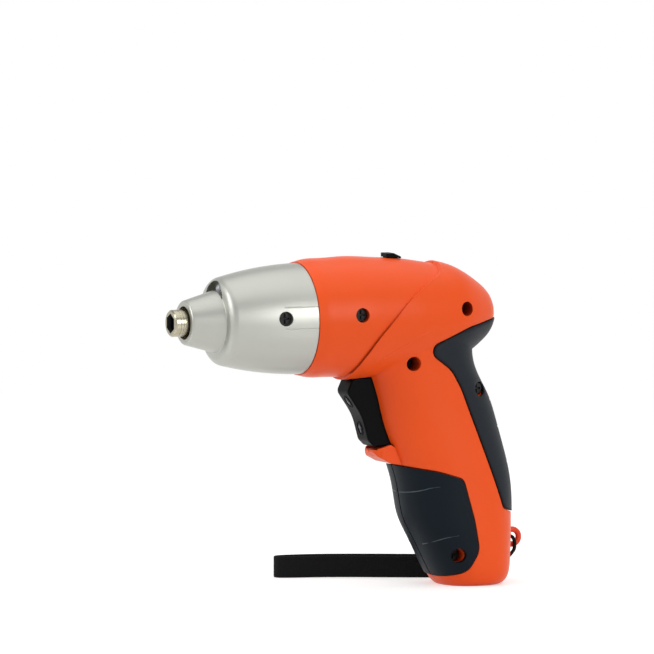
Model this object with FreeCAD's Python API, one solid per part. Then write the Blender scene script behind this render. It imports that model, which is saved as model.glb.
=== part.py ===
# Cordless pistol-grip screwdriver with a two-stage planetary drive, in millimetres.
# +Z is up, the nose points to -X, and the origin is the centre of the flat base.
import FreeCAD, Part
import math
import os

from FreeCAD import Placement, Rotation, Vector

# Cells, motor and what they need round them
cell_diameter = 14.5
cell_length = 50.0
cell_gap = 0.4
cell_clearance = 0.15
cell_tilt = 9.0
pack_floor = 19.5
motor_radius = 13.85
motor_length = 38.0
motor_fit = 0.1

# Casing
wall = 2.4
rib_thickness = 1.6
side_room = 2.4
depth_room = 15.9
barrel_room = 8.75
head_room = 43.5
seam_reach = 76.8
seam_gap = 0.2
seam_step = 0.4
tail_reach = 11.05
yoke_step = 1.1
rubber_depth = 1.4
rubber_proud = 0.4
rubber_gap = 0.5
rubber_groove_width = 0.9
rubber_groove_depth = 0.3
rubber_groove_half_width = 10.0
rubber_groove_tilt = 16.0
parting_width = 0.3
parting_depth = 0.35
rubber_parting_width = 0.8
rubber_parting_depth = 0.2
overrun = 5.0

# Nose cover and spindle
nose_length = 51.2
nose_wall = 2.0
snout_length = 13.6
snout_front_radius = 9.1
snout_back_radius = 12.9
snout_lip_radius = 1.2
shoulder_radius = 4.0
shoulder_rake = 8.0
shoulder_root = 0.4
nose_taper = 8.2
nose_swell = 1.7
nose_swell_radius = 150.0
nose_line_width = 0.35
nose_line_depth = 0.3
nose_line_spacing = 9.0
spindle_reach = 6.0
spindle_radius = 5.6
spindle_chamfer = 0.6
snout_gap = 1.3
hex_across_flats = 6.35
hex_fit = 0.1
hex_depth = 13.0
hex_lead = 0.45
hex_lead_depth = 1.6
hex_sides = 6
groove_depth = 0.5
groove_width = 1.2
groove_inset = 2.6
ring_proud = 0.05
ring_opening = 1.6
running_fit = 0.04
bush_wall = 1.6
bush_inset = 4.0
bush_length = 10.0
magnet_radius = 2.4
magnet_length = 3.0
lamp_radius = 2.5
lamp_length = 5.8
lamp_height = 13.4
lamp_arch_radius = 8.5
lamp_arch_height = 8.5
lamp_pad_wall = 0.9
lamp_floor_inset = 4.0
lamp_fit = 0.05
lamp_flange = 0.4
lamp_flange_length = 1.0

# Gears
tooth_module = 0.55
sun_teeth = 9
planet_teeth = 18
planet_count = 3
pressure_angle = 25.0
addendum_share = 0.8
dedendum_share = 1.05
tooth_thinning = 0.05
gear_width = 6.0
gear_play = 0.2
disc_thickness = 3.5
pin_radius = 1.5
case_inset = 21.0
case_wall = 2.2
screw_floor = 0.5
washer_thickness = 0.8
washer_width = 3.5
plate_thickness = 2.0

# Motor details
can_wall = 1.0
end_cap_length = 4.0
hub_radius = 4.5
hub_length = 1.5
shaft_radius = 1.15
magnet_thickness = 2.4
magnet_gap_angle = 50.0
air_gap = 0.4
stack_share = 0.55
commutator_radius = 3.6
commutator_length = 6.0
slot_width = 1.6
slot_depth = 5.0
armature_slots = 3
motor_bush_radius = 3.0
cradle_width = 12.0
cradle_wall = 2.6
lug_radius = 4.0
lug_gap = 0.2

# Screws
screw_radius = 1.3
screw_fit = 0.03
screw_hole_radius = 1.65
screw_head_radius = 2.7
screw_head_height = 2.0
screw_pocket_radius = 3.0
screw_boss_radius = 3.5
screw_seat = 9.0
screw_reach = 9.0
short_seat = 1.6
barrel_screw_recess = 2.8
short_reach = 3.6
drive_slot_width = 0.8
drive_slot_depth = 0.9
nose_screw_recess = 0.9
nose_screw_head_radius = 3.0
nose_screw_grip = 1.6

# Trigger, its switch and the slide on top
trigger_reach = 19.6
trigger_height = 28.0
trigger_half_width = 5.5
trigger_rim = 0.8
trigger_room = 1.4
trigger_side_gap = 0.4
trigger_pin_radius = 1.5
trigger_pin_fit = 0.05
trigger_pin_bearing = 3.0
trigger_back = 3.5
plunger_radius = 1.7
plunger_fit = 0.06
plunger_arm = 7.0
plunger_gap = 0.4
plunger_length = 6.0
plunger_room = 1.0
switch_standoff = 2.5
switch_depth = 6.5
switch_height = 22.0
switch_half_width = 6.5
switch_gap = 0.1
knob_length = 3.4
knob_tail = 3.2
knob_half_width = 2.8
knob_height = 1.6
knob_lift = 0.3
knob_travel = 3.0
knob_stem_half_width = 1.5
knob_stem_length = 3.0
slot_gap = 0.3
lamp_switch_length = 15.0
lamp_switch_half_width = 3.5
lamp_switch_height = 4.6
lamp_switch_gap = 0.6
lip_half_width = 7.5
lip_round = 9.5

# Charge socket, tabs and wires
socket_radius = 4.0
socket_bore = 2.8
socket_pin_radius = 1.0
socket_height = 9.0
socket_lift = 0.4
socket_offset = 5.0
socket_flange = 0.9
socket_gap = 0.05
tab_thickness = 0.3
tab_half_width = 2.5
wire_radius = 0.6
wire_spread = 3.0
wire_drop = 7.0
wire_lane = 2.0
wire_gap = 0.12

# Wrist strap
eyelet_ring_radius = 3.1
eyelet_wire_radius = 1.2
eyelet_reach = 21.8
eyelet_height = 18.4
strap_width = 9.0
strap_thickness = 1.2
strap_cord_radius = 0.75
clasp_length = 8.0
clasp_depth = 5.4
clasp_height = 9.6
clasp_round = 1.4

# Route of the webbing in plan, and of the thin cord through the eyelet
webbing_route = [
    (17.6, 16.4), (9.5, 21.0), (-3.0, 26.0), (-17.0, 33.0), (-31.0, 41.0), (-44.0, 46.6),
    (-54.5, 49.0), (-62.0, 51.6), (-61.0, 56.4), (-53.0, 56.6), (-41.0, 54.4), (-27.0, 48.6),
    (-12.0, 41.0), (3.0, 32.6), (15.5, 24.6), (22.4, 17.2),
]
cord_route = [
    (19.8, 14.4, 8.2), (20.5, 10.8, 12.6), (21.6, 5.8, 17.2), (22.0, 0.8, 18.9), (22.0, -2.4, 17.2),
    (22.2, -2.2, 13.9), (22.6, 0.8, 11.9), (22.6, 5.2, 9.4), (22.2, 9.6, 7.6), (21.4, 13.4, 6.4),
]
clasp_place = (20.0, 15.5)

# Casing sizes that follow from what it holds
grip_half_width = cell_diameter + cell_gap / 2 + side_room + wall
pack_depth = cell_diameter + (cell_diameter + cell_gap) * math.sqrt(3) / 2
grip_depth = pack_depth + depth_room + 2 * wall
barrel_radius = motor_radius + barrel_room + wall
axis_height = pack_floor + cell_length + head_room
seam_x = -seam_reach
snout_x = seam_x - nose_length
spindle_x = snout_x - spindle_reach
barrel_length = seam_reach + tail_reach
far = barrel_length + nose_length

# Barrel outline from the seam to the tail: share of its length, share of its radius
barrel_shares = [
    (0.0, 0.94), (0.026, 0.963), (0.123, 0.985), (0.236, 1.0), (0.40, 0.968), (0.523, 0.936),
    (0.646, 0.868), (0.774, 0.765), (0.846, 0.64), (0.908, 0.49), (0.959, 0.33), (1.0, 0.0),
]

# Grip sections: share of the axis height, front and back as shares of the grip's depth, width share
grip_shares = [
    (0.0, -0.23, 0.26, 0.692), (0.013, -0.265, 0.325, 0.831), (0.044, -0.316, 0.3625, 0.923),
    (0.142, -0.438, 0.381, 0.982), (0.319, -0.612, 0.388, 1.0), (0.451, -0.69, 0.346, 0.993),
    (0.56, -0.80, 0.275, 0.983), (0.664, -0.875, 0.20, 0.98), (0.761, -0.94, 0.087, 1.0),
    (0.836, -1.0, 0.017, 1.022), (0.912, -1.03, 0.0125, 1.04), (0.982, -0.917, 0.0, 1.0),
]
section_power = 2.4
section_points = 24

# Side outlines: share of the grip's depth, share of the axis height, corner as a share of the depth
palm_shares = [
    (-0.58, 0.884, 0.08), (-0.14, 0.96, 0.6), (0.121, 0.978, 0.4), (0.646, 1.0, 0.0),
    (0.646, 0.227, 0.0), (0.21, 0.283, 0.06), (-0.069, 0.579, 1.0),
    (-0.219, 0.735, 0.5), (-0.3125, 0.801, 0.25),
]
panel_shares = [
    (-0.958, 0.473, 0.0), (-0.417, 0.432, 1.0), (-0.192, 0.402, 0.08), (-0.0875, 0.248, 0.8),
    (-0.035, 0.135, 0.18), (-0.135, 0.055, 0.16), (-0.458, 0.016, 0.5), (-0.958, 0.012, 0.0),
]
yoke_shares = [
    (-0.24, 1.26, 0.0), (-0.319, 1.165, 0.2), (-0.5625, 1.119, 0.6), (-0.76, 1.064, 0.8),
    (-0.919, 0.994, 0.8), (-1.048, 0.933, 0.8), (-1.14, 0.866, 0.8), (-1.2, 0.80, 0.0),
    (-1.2, 0.646, 0.0), (0.646, 0.646, 0.0), (0.646, 1.26, 0.0),
]
lip_shares = [
    (-0.771, 0.527, 0.0), (-0.927, 0.508, 0.02), (-0.875, 0.482, 0.06), (-0.677, 0.438, 0.1),
    (-0.542, 0.469, 0.0),
]
trigger_back_share = trigger_back / trigger_reach
trigger_shares = [
    (-0.86, 0.53, 0.08), (-1.0, 0.315, 0.1), (-0.816, 0.129, 0.6), (-0.647, -0.05, 0.8),
    (-0.574, -0.232, 0.8), (-0.505, -0.411, 0.1), (-0.368, -0.507, 0.08),
    (trigger_back_share, -0.507, 0.03), (trigger_back_share, 0.53, 0.03),
]
groove_shares = [(0.16, 0.681), (0.25, 0.579), (0.34, 0.447), (0.375, 0.345)]
trigger_pivot_shares = (-0.76, 0.646)
housing_screw_shares = [(-0.167, 1.0265), (-0.667, 0.832), (0.0, 0.726), (-0.225, 0.118)]
barrel_screw_shares = (0.214, 0.1)
nose_screw_shares = (0.287, 0.08)
knob_share = 0.4533
cradle_rib_shares = [0.1, 0.75]
back_row_share = 0.28
drive_slot_share = 0.7
nose_swell_share = 0.5
bend_share = 0.45
flank_shares = [0.0, 0.5, 1.0]
seam_slope_share = 0.1
planet_phase = math.pi / planet_teeth


def grip_point(x_share, z_share):
    """A point of the side view in shares of the grip."""
    return Vector(x_share * grip_depth, 0, z_share * axis_height)


def cylinder_x(radius, x, length, y=0, lift=0):
    """A cylinder along X, its axis offset from the barrel's axis."""
    return Part.makeCylinder(radius, length, Vector(x, y, axis_height + lift), Vector(1, 0, 0))


def ring_x(outer, inner, x, length):
    """A plain ring round the barrel's axis."""
    return cylinder_x(outer, x, length).cut(cylinder_x(inner, x, length))


def cylinder_y(radius, place, start, end):
    """A cylinder along Y at a point of the side view."""
    base = Vector(place.x, start, place.z)
    return Part.makeCylinder(radius, abs(end - start), base, Vector(0, math.copysign(1, end - start), 0))


def block(x_range, y_range, z_range):
    """A box between two corners."""
    low = Vector(min(x_range), min(y_range), min(z_range))
    sizes = [abs(pair[1] - pair[0]) for pair in (x_range, y_range, z_range)]
    return Part.makeBox(*sizes, low)


def rounded_outline(points, radii):
    """A closed wire of straight sides joined by tangent arcs."""
    edges = []
    starts = []
    ends = []
    mids = []
    count = len(points)
    for index, corner in enumerate(points):
        back = (points[index - 1] - corner).normalize()
        ahead = (points[(index + 1) % count] - corner).normalize()
        half = back.getAngle(ahead) / 2
        setback = radii[index] / math.tan(half)
        bisector = (back + ahead).normalize()
        starts.append(corner + back * setback)
        ends.append(corner + ahead * setback)
        mids.append(corner + bisector * (radii[index] / math.sin(half) - radii[index]))
    for index in range(count):
        if radii[index] > 0:
            edges.append(Part.Arc(starts[index], mids[index], ends[index]).toShape())
        edges.append(Part.LineSegment(ends[index], starts[(index + 1) % count]).toShape())
    return Part.Wire(edges)


def grip_outline(table):
    """The wire of a side outline given in shares of the grip."""
    points = [grip_point(x_share, z_share) for x_share, z_share, corner in table]
    return rounded_outline(points, [corner * grip_depth for x_share, z_share, corner in table])


def across(wire, half_width):
    """A side outline made into a prism that is centred on the mid-plane."""
    face = Part.Face(wire)
    face.translate(Vector(0, -half_width, 0))
    return face.extrude(Vector(0, 2 * half_width, 0))


def barrel_solid(inset, opening=0):
    """The barrel turned about its axis, drawn in by the inset."""
    points = []
    for along, out in barrel_shares:
        x = seam_x + along * barrel_length - inset * along ** 2
        reach = max(out * barrel_radius - inset, 0) if out else 0
        points.append(Vector(x, 0, axis_height + reach))
    curve = Part.BSplineCurve()
    rise = Vector(1, 0, seam_slope_share)
    curve.interpolate(Points=points, InitialTangent=rise, FinalTangent=Vector(0, 0, -1), Scale=False)
    axis_front = Vector(seam_x - opening, 0, axis_height)
    front = Vector(seam_x - opening, 0, points[0].z)
    corners = [points[-1], axis_front, front] + ([points[0]] if opening else [])
    edges = [Part.makeLine(a, b) for a, b in zip(corners, corners[1:])]
    face = Part.Face(Part.Wire([curve.toShape()] + edges))
    return face.revolve(Vector(0, 0, axis_height), Vector(1, 0, 0), 360)


def barrel_radius_at(x):
    """Outer radius of the barrel at a station, read from its outline."""
    along = (x - seam_x) / barrel_length
    for (start, low), (end, high) in zip(barrel_shares, barrel_shares[1:]):
        if start <= along <= end:
            return barrel_radius * (low + (high - low) * (along - start) / (end - start))
    return barrel_radius


def grip_section(row, inset, top):
    """One level closed curve of the grip, a rounded oval."""
    height_share, front_share, back_share, width_share = row
    front = front_share * grip_depth + inset
    back = back_share * grip_depth - inset
    half = (back - front) / 2
    middle = (back + front) / 2
    width = width_share * grip_half_width - inset
    z = inset + height_share * axis_height * (top - inset) / top
    points = []
    for step in range(section_points):
        turn = 2 * math.pi * step / section_points
        along = math.copysign(abs(math.cos(turn)) ** (2 / section_power), math.cos(turn))
        aside = math.copysign(abs(math.sin(turn)) ** (2 / section_power), math.sin(turn))
        points.append(Vector(middle + half * along, width * aside, z))
    curve = Part.BSplineCurve()
    curve.interpolate(Points=points, PeriodicFlag=True)
    return Part.Wire(curve.toShape())


def grip_solid(inset):
    """The handle lofted through its sections, drawn in by the inset."""
    top = grip_shares[-1][0] * axis_height
    return Part.makeLoft([grip_section(row, inset, top) for row in grip_shares], True, False)


def casing_solid(inset, opening=0):
    """Barrel and handle as one solid, drawn in by the inset."""
    return barrel_solid(inset, opening).fuse(grip_solid(inset))


def half_space(side):
    """The space on one side of the mid-plane: -1 is the tool's left, +1 its right."""
    return block((-far, far), (0, side * far), (-far, far + axis_height))


def screw(place, seat, reach, side, head_radius):
    """A pan-head screw along Y with a cross slot, its head under the seat."""
    head = cylinder_y(head_radius, place, side * seat, side * (seat + screw_head_height))
    shank = cylinder_y(screw_radius, place, side * seat, side * (seat - reach))
    top = seat + screw_head_height
    depth = (side * (top - drive_slot_depth), side * (top + overrun))
    arm = head_radius * drive_slot_share
    half = drive_slot_width / 2
    flat = block((place.x - arm, place.x + arm), depth, (place.z - half, place.z + half))
    upright = block((place.x - half, place.x + half), depth, (place.z - arm, place.z + arm))
    return head.fuse(shank).cut(flat.fuse(upright))


def involute(angle):
    """The involute of an angle."""
    return math.tan(angle) - angle


def polar(radius, angle):
    """A point of the drawing plane by its radius and angle."""
    return Vector(radius * math.cos(angle), radius * math.sin(angle), 0)


def gear_outline(teeth, tip, root, thickening, phase):
    """A closed outline of involute teeth round the origin."""
    pitch = teeth * tooth_module / 2
    base = pitch * math.cos(math.radians(pressure_angle))
    low = max(root, base)
    half = math.pi / (2 * teeth) + thickening / pitch + involute(math.radians(pressure_angle))
    radii = [low + (tip - low) * share for share in flank_shares]
    flank = [(radius, half - involute(math.acos(base / radius))) for radius in radii]
    flank = [(root, flank[0][1])] + flank if root < low else flank
    points = []
    for tooth in range(teeth):
        centre = phase + 2 * math.pi * tooth / teeth
        rising = [(radius, centre - angle) for radius, angle in flank]
        falling = [(radius, centre + angle) for radius, angle in reversed(flank)]
        points += [polar(radius, angle) for radius, angle in rising + falling]
    return Part.makePolygon(points + points[:1])


def outer_gear(teeth, phase):
    """Outline of a sun or planet gear."""
    pitch = teeth * tooth_module / 2
    tip = pitch + addendum_share * tooth_module
    root = pitch - dedendum_share * tooth_module
    return gear_outline(teeth, tip, root, -tooth_thinning, phase)


def holed(outer, inners, length):
    """A flat outline with holes, drawn out along its normal."""
    return Part.makeFace([outer] + inners, "Part::FaceMakerBullseye").extrude(Vector(0, 0, length))


def circle(radius, centre=Vector(0, 0, 0)):
    """A circle as a wire in the drawing plane."""
    return Part.Wire(Part.makeCircle(radius, centre))


def on_axis(shape, x):
    """A shape drawn along Z moved onto the barrel's axis."""
    shape.Placement = Placement(Vector(x, 0, axis_height), Rotation(Vector(0, 1, 0), 90))
    return shape


ring_teeth = sun_teeth + 2 * planet_teeth
orbit_radius = (sun_teeth + planet_teeth) * tooth_module / 2
ring_tip = ring_teeth * tooth_module / 2 + dedendum_share * tooth_module
ring_root = ring_teeth * tooth_module / 2 - addendum_share * tooth_module
case_radius = ring_tip + case_wall
disc_radius = ring_root - gear_play
orbit_angles = [math.pi / 2 + 2 * math.pi * index / planet_count for index in range(planet_count)]
orbit = [polar(orbit_radius, angle) for angle in orbit_angles]

# Stations of the drive along the barrel, each worked out from the one before
case_x = snout_x + case_inset
washer_x = case_x + case_wall + gear_play / 2
disc_x = washer_x + washer_thickness + gear_play / 2
output_planet_x = disc_x + disc_thickness + gear_play
stage_disc_x = output_planet_x + gear_width + gear_play
input_planet_x = stage_disc_x + disc_thickness + gear_play
plate_x = input_planet_x + gear_width + 2 * gear_play
motor_x = plate_x + plate_thickness
motor_end_x = motor_x + motor_length
cap_end_x = motor_end_x + end_cap_length

# Places on the casing
pivot = grip_point(*trigger_pivot_shares)
housing_screw_places = [grip_point(*shares) for shares in housing_screw_shares]
barrel_screw_place = Vector(seam_x + barrel_screw_shares[0] * barrel_length, 0,
                            axis_height + barrel_screw_shares[1] * barrel_radius)
nose_screw_place = Vector(seam_x - nose_screw_shares[0] * nose_length, 0,
                          axis_height + nose_screw_shares[1] * barrel_radius)
barrel_screw_seat = barrel_radius - barrel_screw_recess - screw_head_height
cradle_reach = barrel_screw_seat - short_seat - lug_gap
switch_x = pivot.x + trigger_back + switch_standoff
knob_x = seam_x + knob_share * barrel_length
knob_floor = barrel_radius_at(knob_x) + knob_lift
lamp_switch_top = math.sqrt((barrel_radius_at(knob_x + lamp_switch_length / 2) - wall) ** 2
                            - lamp_switch_half_width ** 2) - lamp_switch_gap
eyelet_centre = Vector(eyelet_reach, 0, eyelet_height)


def pack_placement():
    """Where the tilted pack of cells stands in the handle."""
    foot = Vector(0, 0, pack_floor)
    return Placement(foot, Rotation(Vector(0, 1, 0), -cell_tilt))


def cell_places():
    """The three cells of the pack: two side by side at the back, one in front of them."""
    pitch = cell_diameter + cell_gap
    back = cell_diameter * back_row_share
    front = back - pitch * math.sqrt(3) / 2
    return [Vector(back, -pitch / 2, 0), Vector(back, pitch / 2, 0), Vector(front, 0, 0)]


def cell(place, growth=0):
    """One cell, or the room that it needs."""
    body = Part.makeCylinder(cell_diameter / 2 + growth, cell_length, place)
    body.Placement = pack_placement()
    return body


def trigger_wire():
    """Side outline of the rocker trigger, placed at its pivot."""
    points = [pivot + Vector(x * trigger_reach, 0, z * trigger_height) for x, z, corner in trigger_shares]
    return rounded_outline(points, [corner * trigger_height for x, z, corner in trigger_shares])


def planet_pins(base):
    """The pins that carry a stage's planets, standing on its disc."""
    return [Part.makeCylinder(pin_radius, gear_width + gear_play, Vector(p.x, p.y, base)) for p in orbit]


def hexagon(corner_radius, level):
    """A six-sided outline across the barrel's axis."""
    corners = [polar(corner_radius, 2 * math.pi * index / hex_sides) for index in range(hex_sides)]
    return Part.makePolygon([corner + Vector(0, 0, level) for corner in corners + corners[:1]])


def make_spindle():
    """Output spindle: hex socket, groove, carrier disc and the pins of the last planets."""
    length = disc_x - spindle_x + disc_thickness
    rod = Part.makeCylinder(spindle_radius, length)
    rod = rod.makeChamfer(spindle_chamfer, [edge for edge in rod.Edges if edge.BoundBox.ZMax < gear_play])
    disc = Part.makeCylinder(disc_radius, disc_thickness, Vector(0, 0, length - disc_thickness))
    corner_radius = (hex_across_flats + hex_fit) / math.sqrt(3)
    socket = Part.Face(hexagon(corner_radius, 0)).extrude(Vector(0, 0, hex_depth))
    mouth = [hexagon(corner_radius + hex_lead, 0), hexagon(corner_radius, hex_lead_depth)]
    lead_in = Part.makeLoft(mouth, True, True)
    pocket = Part.makeCylinder(magnet_radius + running_fit, magnet_length, Vector(0, 0, hex_depth))
    at_groove = Vector(0, 0, groove_inset)
    relief = Part.makeCylinder(spindle_radius + groove_depth, groove_width, at_groove)
    relief = relief.cut(Part.makeCylinder(spindle_radius - groove_depth, groove_width, at_groove))
    solid = rod.fuse([disc] + planet_pins(length)).cut(socket.fuse(pocket)).cut(lead_in).cut(relief)
    return on_axis(solid, spindle_x)


def make_bit_ring():
    """Spring ring in the spindle's groove, open at one side."""
    width = groove_width - 2 * running_fit
    outer = Part.makeCylinder(spindle_radius + ring_proud, width)
    inner = Part.makeCylinder(spindle_radius - groove_depth + running_fit, width)
    mouth = Part.makeBox(far, ring_opening, width, Vector(0, -ring_opening / 2, 0))
    return on_axis(outer.cut(inner).cut(mouth), spindle_x + groove_inset + running_fit)


def make_magnet():
    """Magnet at the bottom of the hex socket."""
    return cylinder_x(magnet_radius, spindle_x + hex_depth, magnet_length)


def make_bush():
    """Plain bush that carries the spindle in the snout."""
    outer = spindle_radius + running_fit + bush_wall
    return ring_x(outer, spindle_radius + running_fit, snout_x + bush_inset, bush_length)


def make_washer():
    """Thrust washer between the gearbox wall and the carrier disc."""
    inner = spindle_radius + running_fit
    return ring_x(inner + washer_width, inner, washer_x, washer_thickness)


def nose_edge(x, inset):
    """Height of the nose cover's tapered side at a station."""
    taper = math.radians(nose_taper)
    rim = barrel_shares[0][1] * barrel_radius - seam_step
    return axis_height + rim - inset / math.cos(taper) - math.tan(taper) * (seam_x - x)


def turned(points, radii):
    """A rounded outline turned about the barrel's axis."""
    return Part.Face(rounded_outline(points, radii)).revolve(Vector(0, 0, axis_height), Vector(1, 0, 0), 360)


def nose_solid(inset, back):
    """Outer form of the nose cover, drawn in by the inset."""
    root = Vector(snout_x + snout_length + inset, 0, axis_height + snout_back_radius)
    rake = math.radians(shoulder_rake)
    slope = math.cos(rake) - math.tan(math.radians(nose_taper)) * math.sin(rake)
    climb = (nose_edge(root.x, inset) - root.z) / slope
    corner = root + Vector(math.sin(rake), 0, math.cos(rake)) * climb
    centre = Vector(snout_x, 0, axis_height)
    lip = Vector(snout_x, 0, axis_height + snout_front_radius)
    rim = Vector(back, 0, nose_edge(back, inset))
    swell = corner + (rim - corner) * nose_swell_share + Vector(0, 0, nose_swell)
    points = [centre, lip, root, corner, swell, rim, Vector(back, 0, axis_height)]
    return turned(points, [0, snout_lip_radius, shoulder_root, shoulder_radius, nose_swell_radius, 0, 0])


def nose_hollow():
    """Room inside the nose cover, with seats for the gearbox and bosses for its screws left standing."""
    front = snout_x + snout_length + lamp_floor_inset
    points = [Vector(front, 0, axis_height), Vector(front, 0, nose_edge(front, nose_wall)),
              Vector(seam_x, 0, nose_edge(seam_x, nose_wall)), Vector(seam_x, 0, axis_height)]
    room = turned(points, [0, shoulder_radius - nose_wall, 0, 0])
    seat_radius = case_radius + motor_fit
    for seat_x in (case_x, plate_x - 2 * rib_thickness):
        room = room.cut(ring_x(barrel_radius, seat_radius, seat_x, rib_thickness))
    boss = cylinder_y(screw_boss_radius, nose_screw_place, -far, far)
    room = room.cut(boss.cut(cylinder_x(seat_radius, case_x, far)))
    pad_radius = lamp_arch_radius + lamp_pad_wall
    return room.cut(cylinder_x(pad_radius, front, nose_wall, 0, lamp_arch_height))


def nose_lines():
    """Pairs of fine moulding lines from each nose screw back to the seam."""
    lines = []
    for side in (-1, 1):
        z = nose_screw_place.z + side * nose_line_spacing / 2
        lines.append(block((nose_screw_place.x, seam_x), (-far, far), (z, z + nose_line_width)))
    return lines[0].fuse(lines[1]).cut(nose_solid(nose_line_depth, seam_x))


def make_nose():
    """Silver nose cover: snout, shoulder, lamp recess, gearbox seats and screw bosses."""
    root_x = snout_x + snout_length
    front_x = root_x - overrun
    depth = overrun + lamp_floor_inset
    solid = nose_solid(0, seam_x - seam_gap).cut(nose_hollow()).cut(nose_lines())
    arch = cylinder_x(lamp_arch_radius, front_x, depth, 0, lamp_arch_height)
    solid = solid.cut(arch.cut(cylinder_x(snout_back_radius, front_x, depth)))
    solid = solid.cut(cylinder_x(lamp_radius + lamp_fit, root_x, lamp_floor_inset + nose_wall, 0, lamp_height))
    bush_outer = spindle_radius + running_fit + bush_wall
    solid = solid.cut(cylinder_x(spindle_radius + snout_gap, snout_x, far))
    solid = solid.cut(cylinder_x(bush_outer + running_fit, snout_x + bush_inset, far))
    seat = nose_screw_seat()
    pocket_radius = nose_screw_head_radius + running_fit
    for side in (-1, 1):
        solid = solid.cut(cylinder_y(screw_hole_radius, nose_screw_place, 0, side * far))
        solid = solid.cut(cylinder_y(pocket_radius, nose_screw_place, side * seat, side * far))
    return solid


def nose_screw_seat():
    """Distance of the nose screws' seats from the mid-plane."""
    return nose_edge(nose_screw_place.x, 0) - axis_height - nose_screw_recess - screw_head_height


def make_nose_screws():
    """The pair of screws through the nose cover into the gearbox."""
    seat = nose_screw_seat()
    reach = seat - case_radius + nose_screw_grip
    return Part.makeCompound([screw(nose_screw_place, seat, reach, side, nose_screw_head_radius)
                              for side in (-1, 1)])


def make_case():
    """Gearbox case: front wall, carrier bay and the ring gear of both stages."""
    bay_end = output_planet_x - gear_play
    teeth = gear_outline(ring_teeth, ring_tip, ring_root, tooth_thinning, math.pi / 2 + math.pi / ring_teeth)
    ring = on_axis(holed(circle(case_radius), [teeth], plate_x - bay_end), bay_end)
    bay = ring_x(case_radius, ring_tip, case_x, bay_end - case_x)
    front = ring_x(case_radius, spindle_radius + running_fit, case_x, case_wall)
    case = ring.fuse([bay, front])
    core = cylinder_x(ring_tip + screw_floor, case_x, far)
    start = case_radius - 2 * nose_screw_grip
    for side in (-1, 1):
        hole = cylinder_y(screw_radius + screw_fit, nose_screw_place, side * start, side * far)
        case = case.cut(hole.cut(core))
    return case


def make_planet(centre, angle, x):
    """One planet gear on its pin."""
    bore = circle(pin_radius + running_fit)
    wheel = holed(outer_gear(planet_teeth, angle + planet_phase), [bore], gear_width)
    wheel.translate(centre)
    return on_axis(Part.makeCompound([wheel]), x)


def make_stage_carrier():
    """First-stage carrier: disc, rear pins, and the second sun in front."""
    disc = Part.makeCylinder(disc_radius, disc_thickness)
    sun = holed(outer_gear(sun_teeth, math.pi / 2), [], gear_width)
    sun.translate(Vector(0, 0, -gear_width))
    return on_axis(disc.fuse(planet_pins(disc_thickness) + [sun]), stage_disc_x)


def make_pinion():
    """First sun on the motor shaft."""
    sun = holed(outer_gear(sun_teeth, math.pi / 2), [circle(shaft_radius)], gear_width)
    return on_axis(sun, input_planet_x)


def make_plate():
    """Plate between gearbox and motor."""
    return ring_x(case_radius, hub_radius + motor_fit, plate_x, plate_thickness)


def make_can():
    """Motor can: drawn steel cup with a front hub."""
    cup = cylinder_x(motor_radius, motor_x, motor_length)
    cup = cup.cut(cylinder_x(motor_radius - can_wall, motor_x + can_wall, motor_length))
    hub = cylinder_x(hub_radius, motor_x - hub_length, hub_length)
    return cup.fuse(hub).cut(cylinder_x(motor_bush_radius, motor_x - hub_length, hub_length + can_wall))


def make_motor_magnets():
    """The two curved magnets inside the can."""
    outer = motor_radius - can_wall
    length = motor_length * stack_share
    x = motor_x + (motor_length - length) / 2
    shell = ring_x(outer, outer - magnet_thickness, x, length)
    half_gap = math.radians(magnet_gap_angle) / 2 * outer
    gap = block((x, x + length), (-half_gap, half_gap), (axis_height - far, axis_height + far))
    return shell.cut(gap)


def make_armature():
    """Rotor stack with its slots, commutator and shaft."""
    radius = motor_radius - can_wall - magnet_thickness - air_gap
    length = motor_length * stack_share
    x = motor_x + (motor_length - length) / 2
    stack = cylinder_x(radius, x, length)
    for index in range(armature_slots):
        slot = block((x, x + length), (-slot_width / 2, slot_width / 2),
                     (axis_height + radius - slot_depth, axis_height + far))
        slot.rotate(Vector(0, 0, axis_height), Vector(1, 0, 0), 360 * index / armature_slots)
        stack = stack.cut(slot)
    commutator = cylinder_x(commutator_radius, x + length, commutator_length)
    shaft = cylinder_x(shaft_radius, input_planet_x, cap_end_x - input_planet_x)
    return stack.fuse([commutator, shaft])


def make_motor_bushes():
    """Front and rear bushes of the motor shaft."""
    inner = shaft_radius + running_fit
    front = ring_x(motor_bush_radius, inner, motor_x - hub_length, hub_length + can_wall)
    rear = ring_x(motor_bush_radius, inner, motor_end_x, end_cap_length)
    return Part.makeCompound([front, rear])


def make_end_cap():
    """Moulded end cap of the motor."""
    return ring_x(motor_radius - can_wall / 2, motor_bush_radius, motor_end_x, end_cap_length)


def make_cradle():
    """Ring that holds the motor, with a lug each side for the barrel screws."""
    x = barrel_screw_place.x - cradle_width / 2
    ring = cylinder_x(motor_radius + motor_fit + cradle_wall, x, cradle_width)
    lugs = cylinder_y(lug_radius, barrel_screw_place, -cradle_reach, cradle_reach)
    body = ring.fuse(lugs).cut(cylinder_x(motor_radius + motor_fit, x - overrun, cradle_width + 2 * overrun))
    body = body.common(cylinder_x(cradle_reach, x - overrun, cradle_width + 2 * overrun))
    start = motor_radius + cradle_wall
    for side in (-1, 1):
        body = body.cut(cylinder_y(screw_radius + screw_fit, barrel_screw_place, side * start, side * far))
    return body


def make_barrel_screws():
    """The pair of short screws through the casing into the motor cradle."""
    seat = barrel_screw_seat
    pair = [screw(barrel_screw_place, seat, short_reach, side, screw_head_radius) for side in (-1, 1)]
    return Part.makeCompound(pair)


def make_housing_screws():
    """Four screws from the left half into the right half."""
    return Part.makeCompound([screw(place, screw_seat, screw_seat + screw_reach, -1, screw_head_radius)
                              for place in housing_screw_places])


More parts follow.
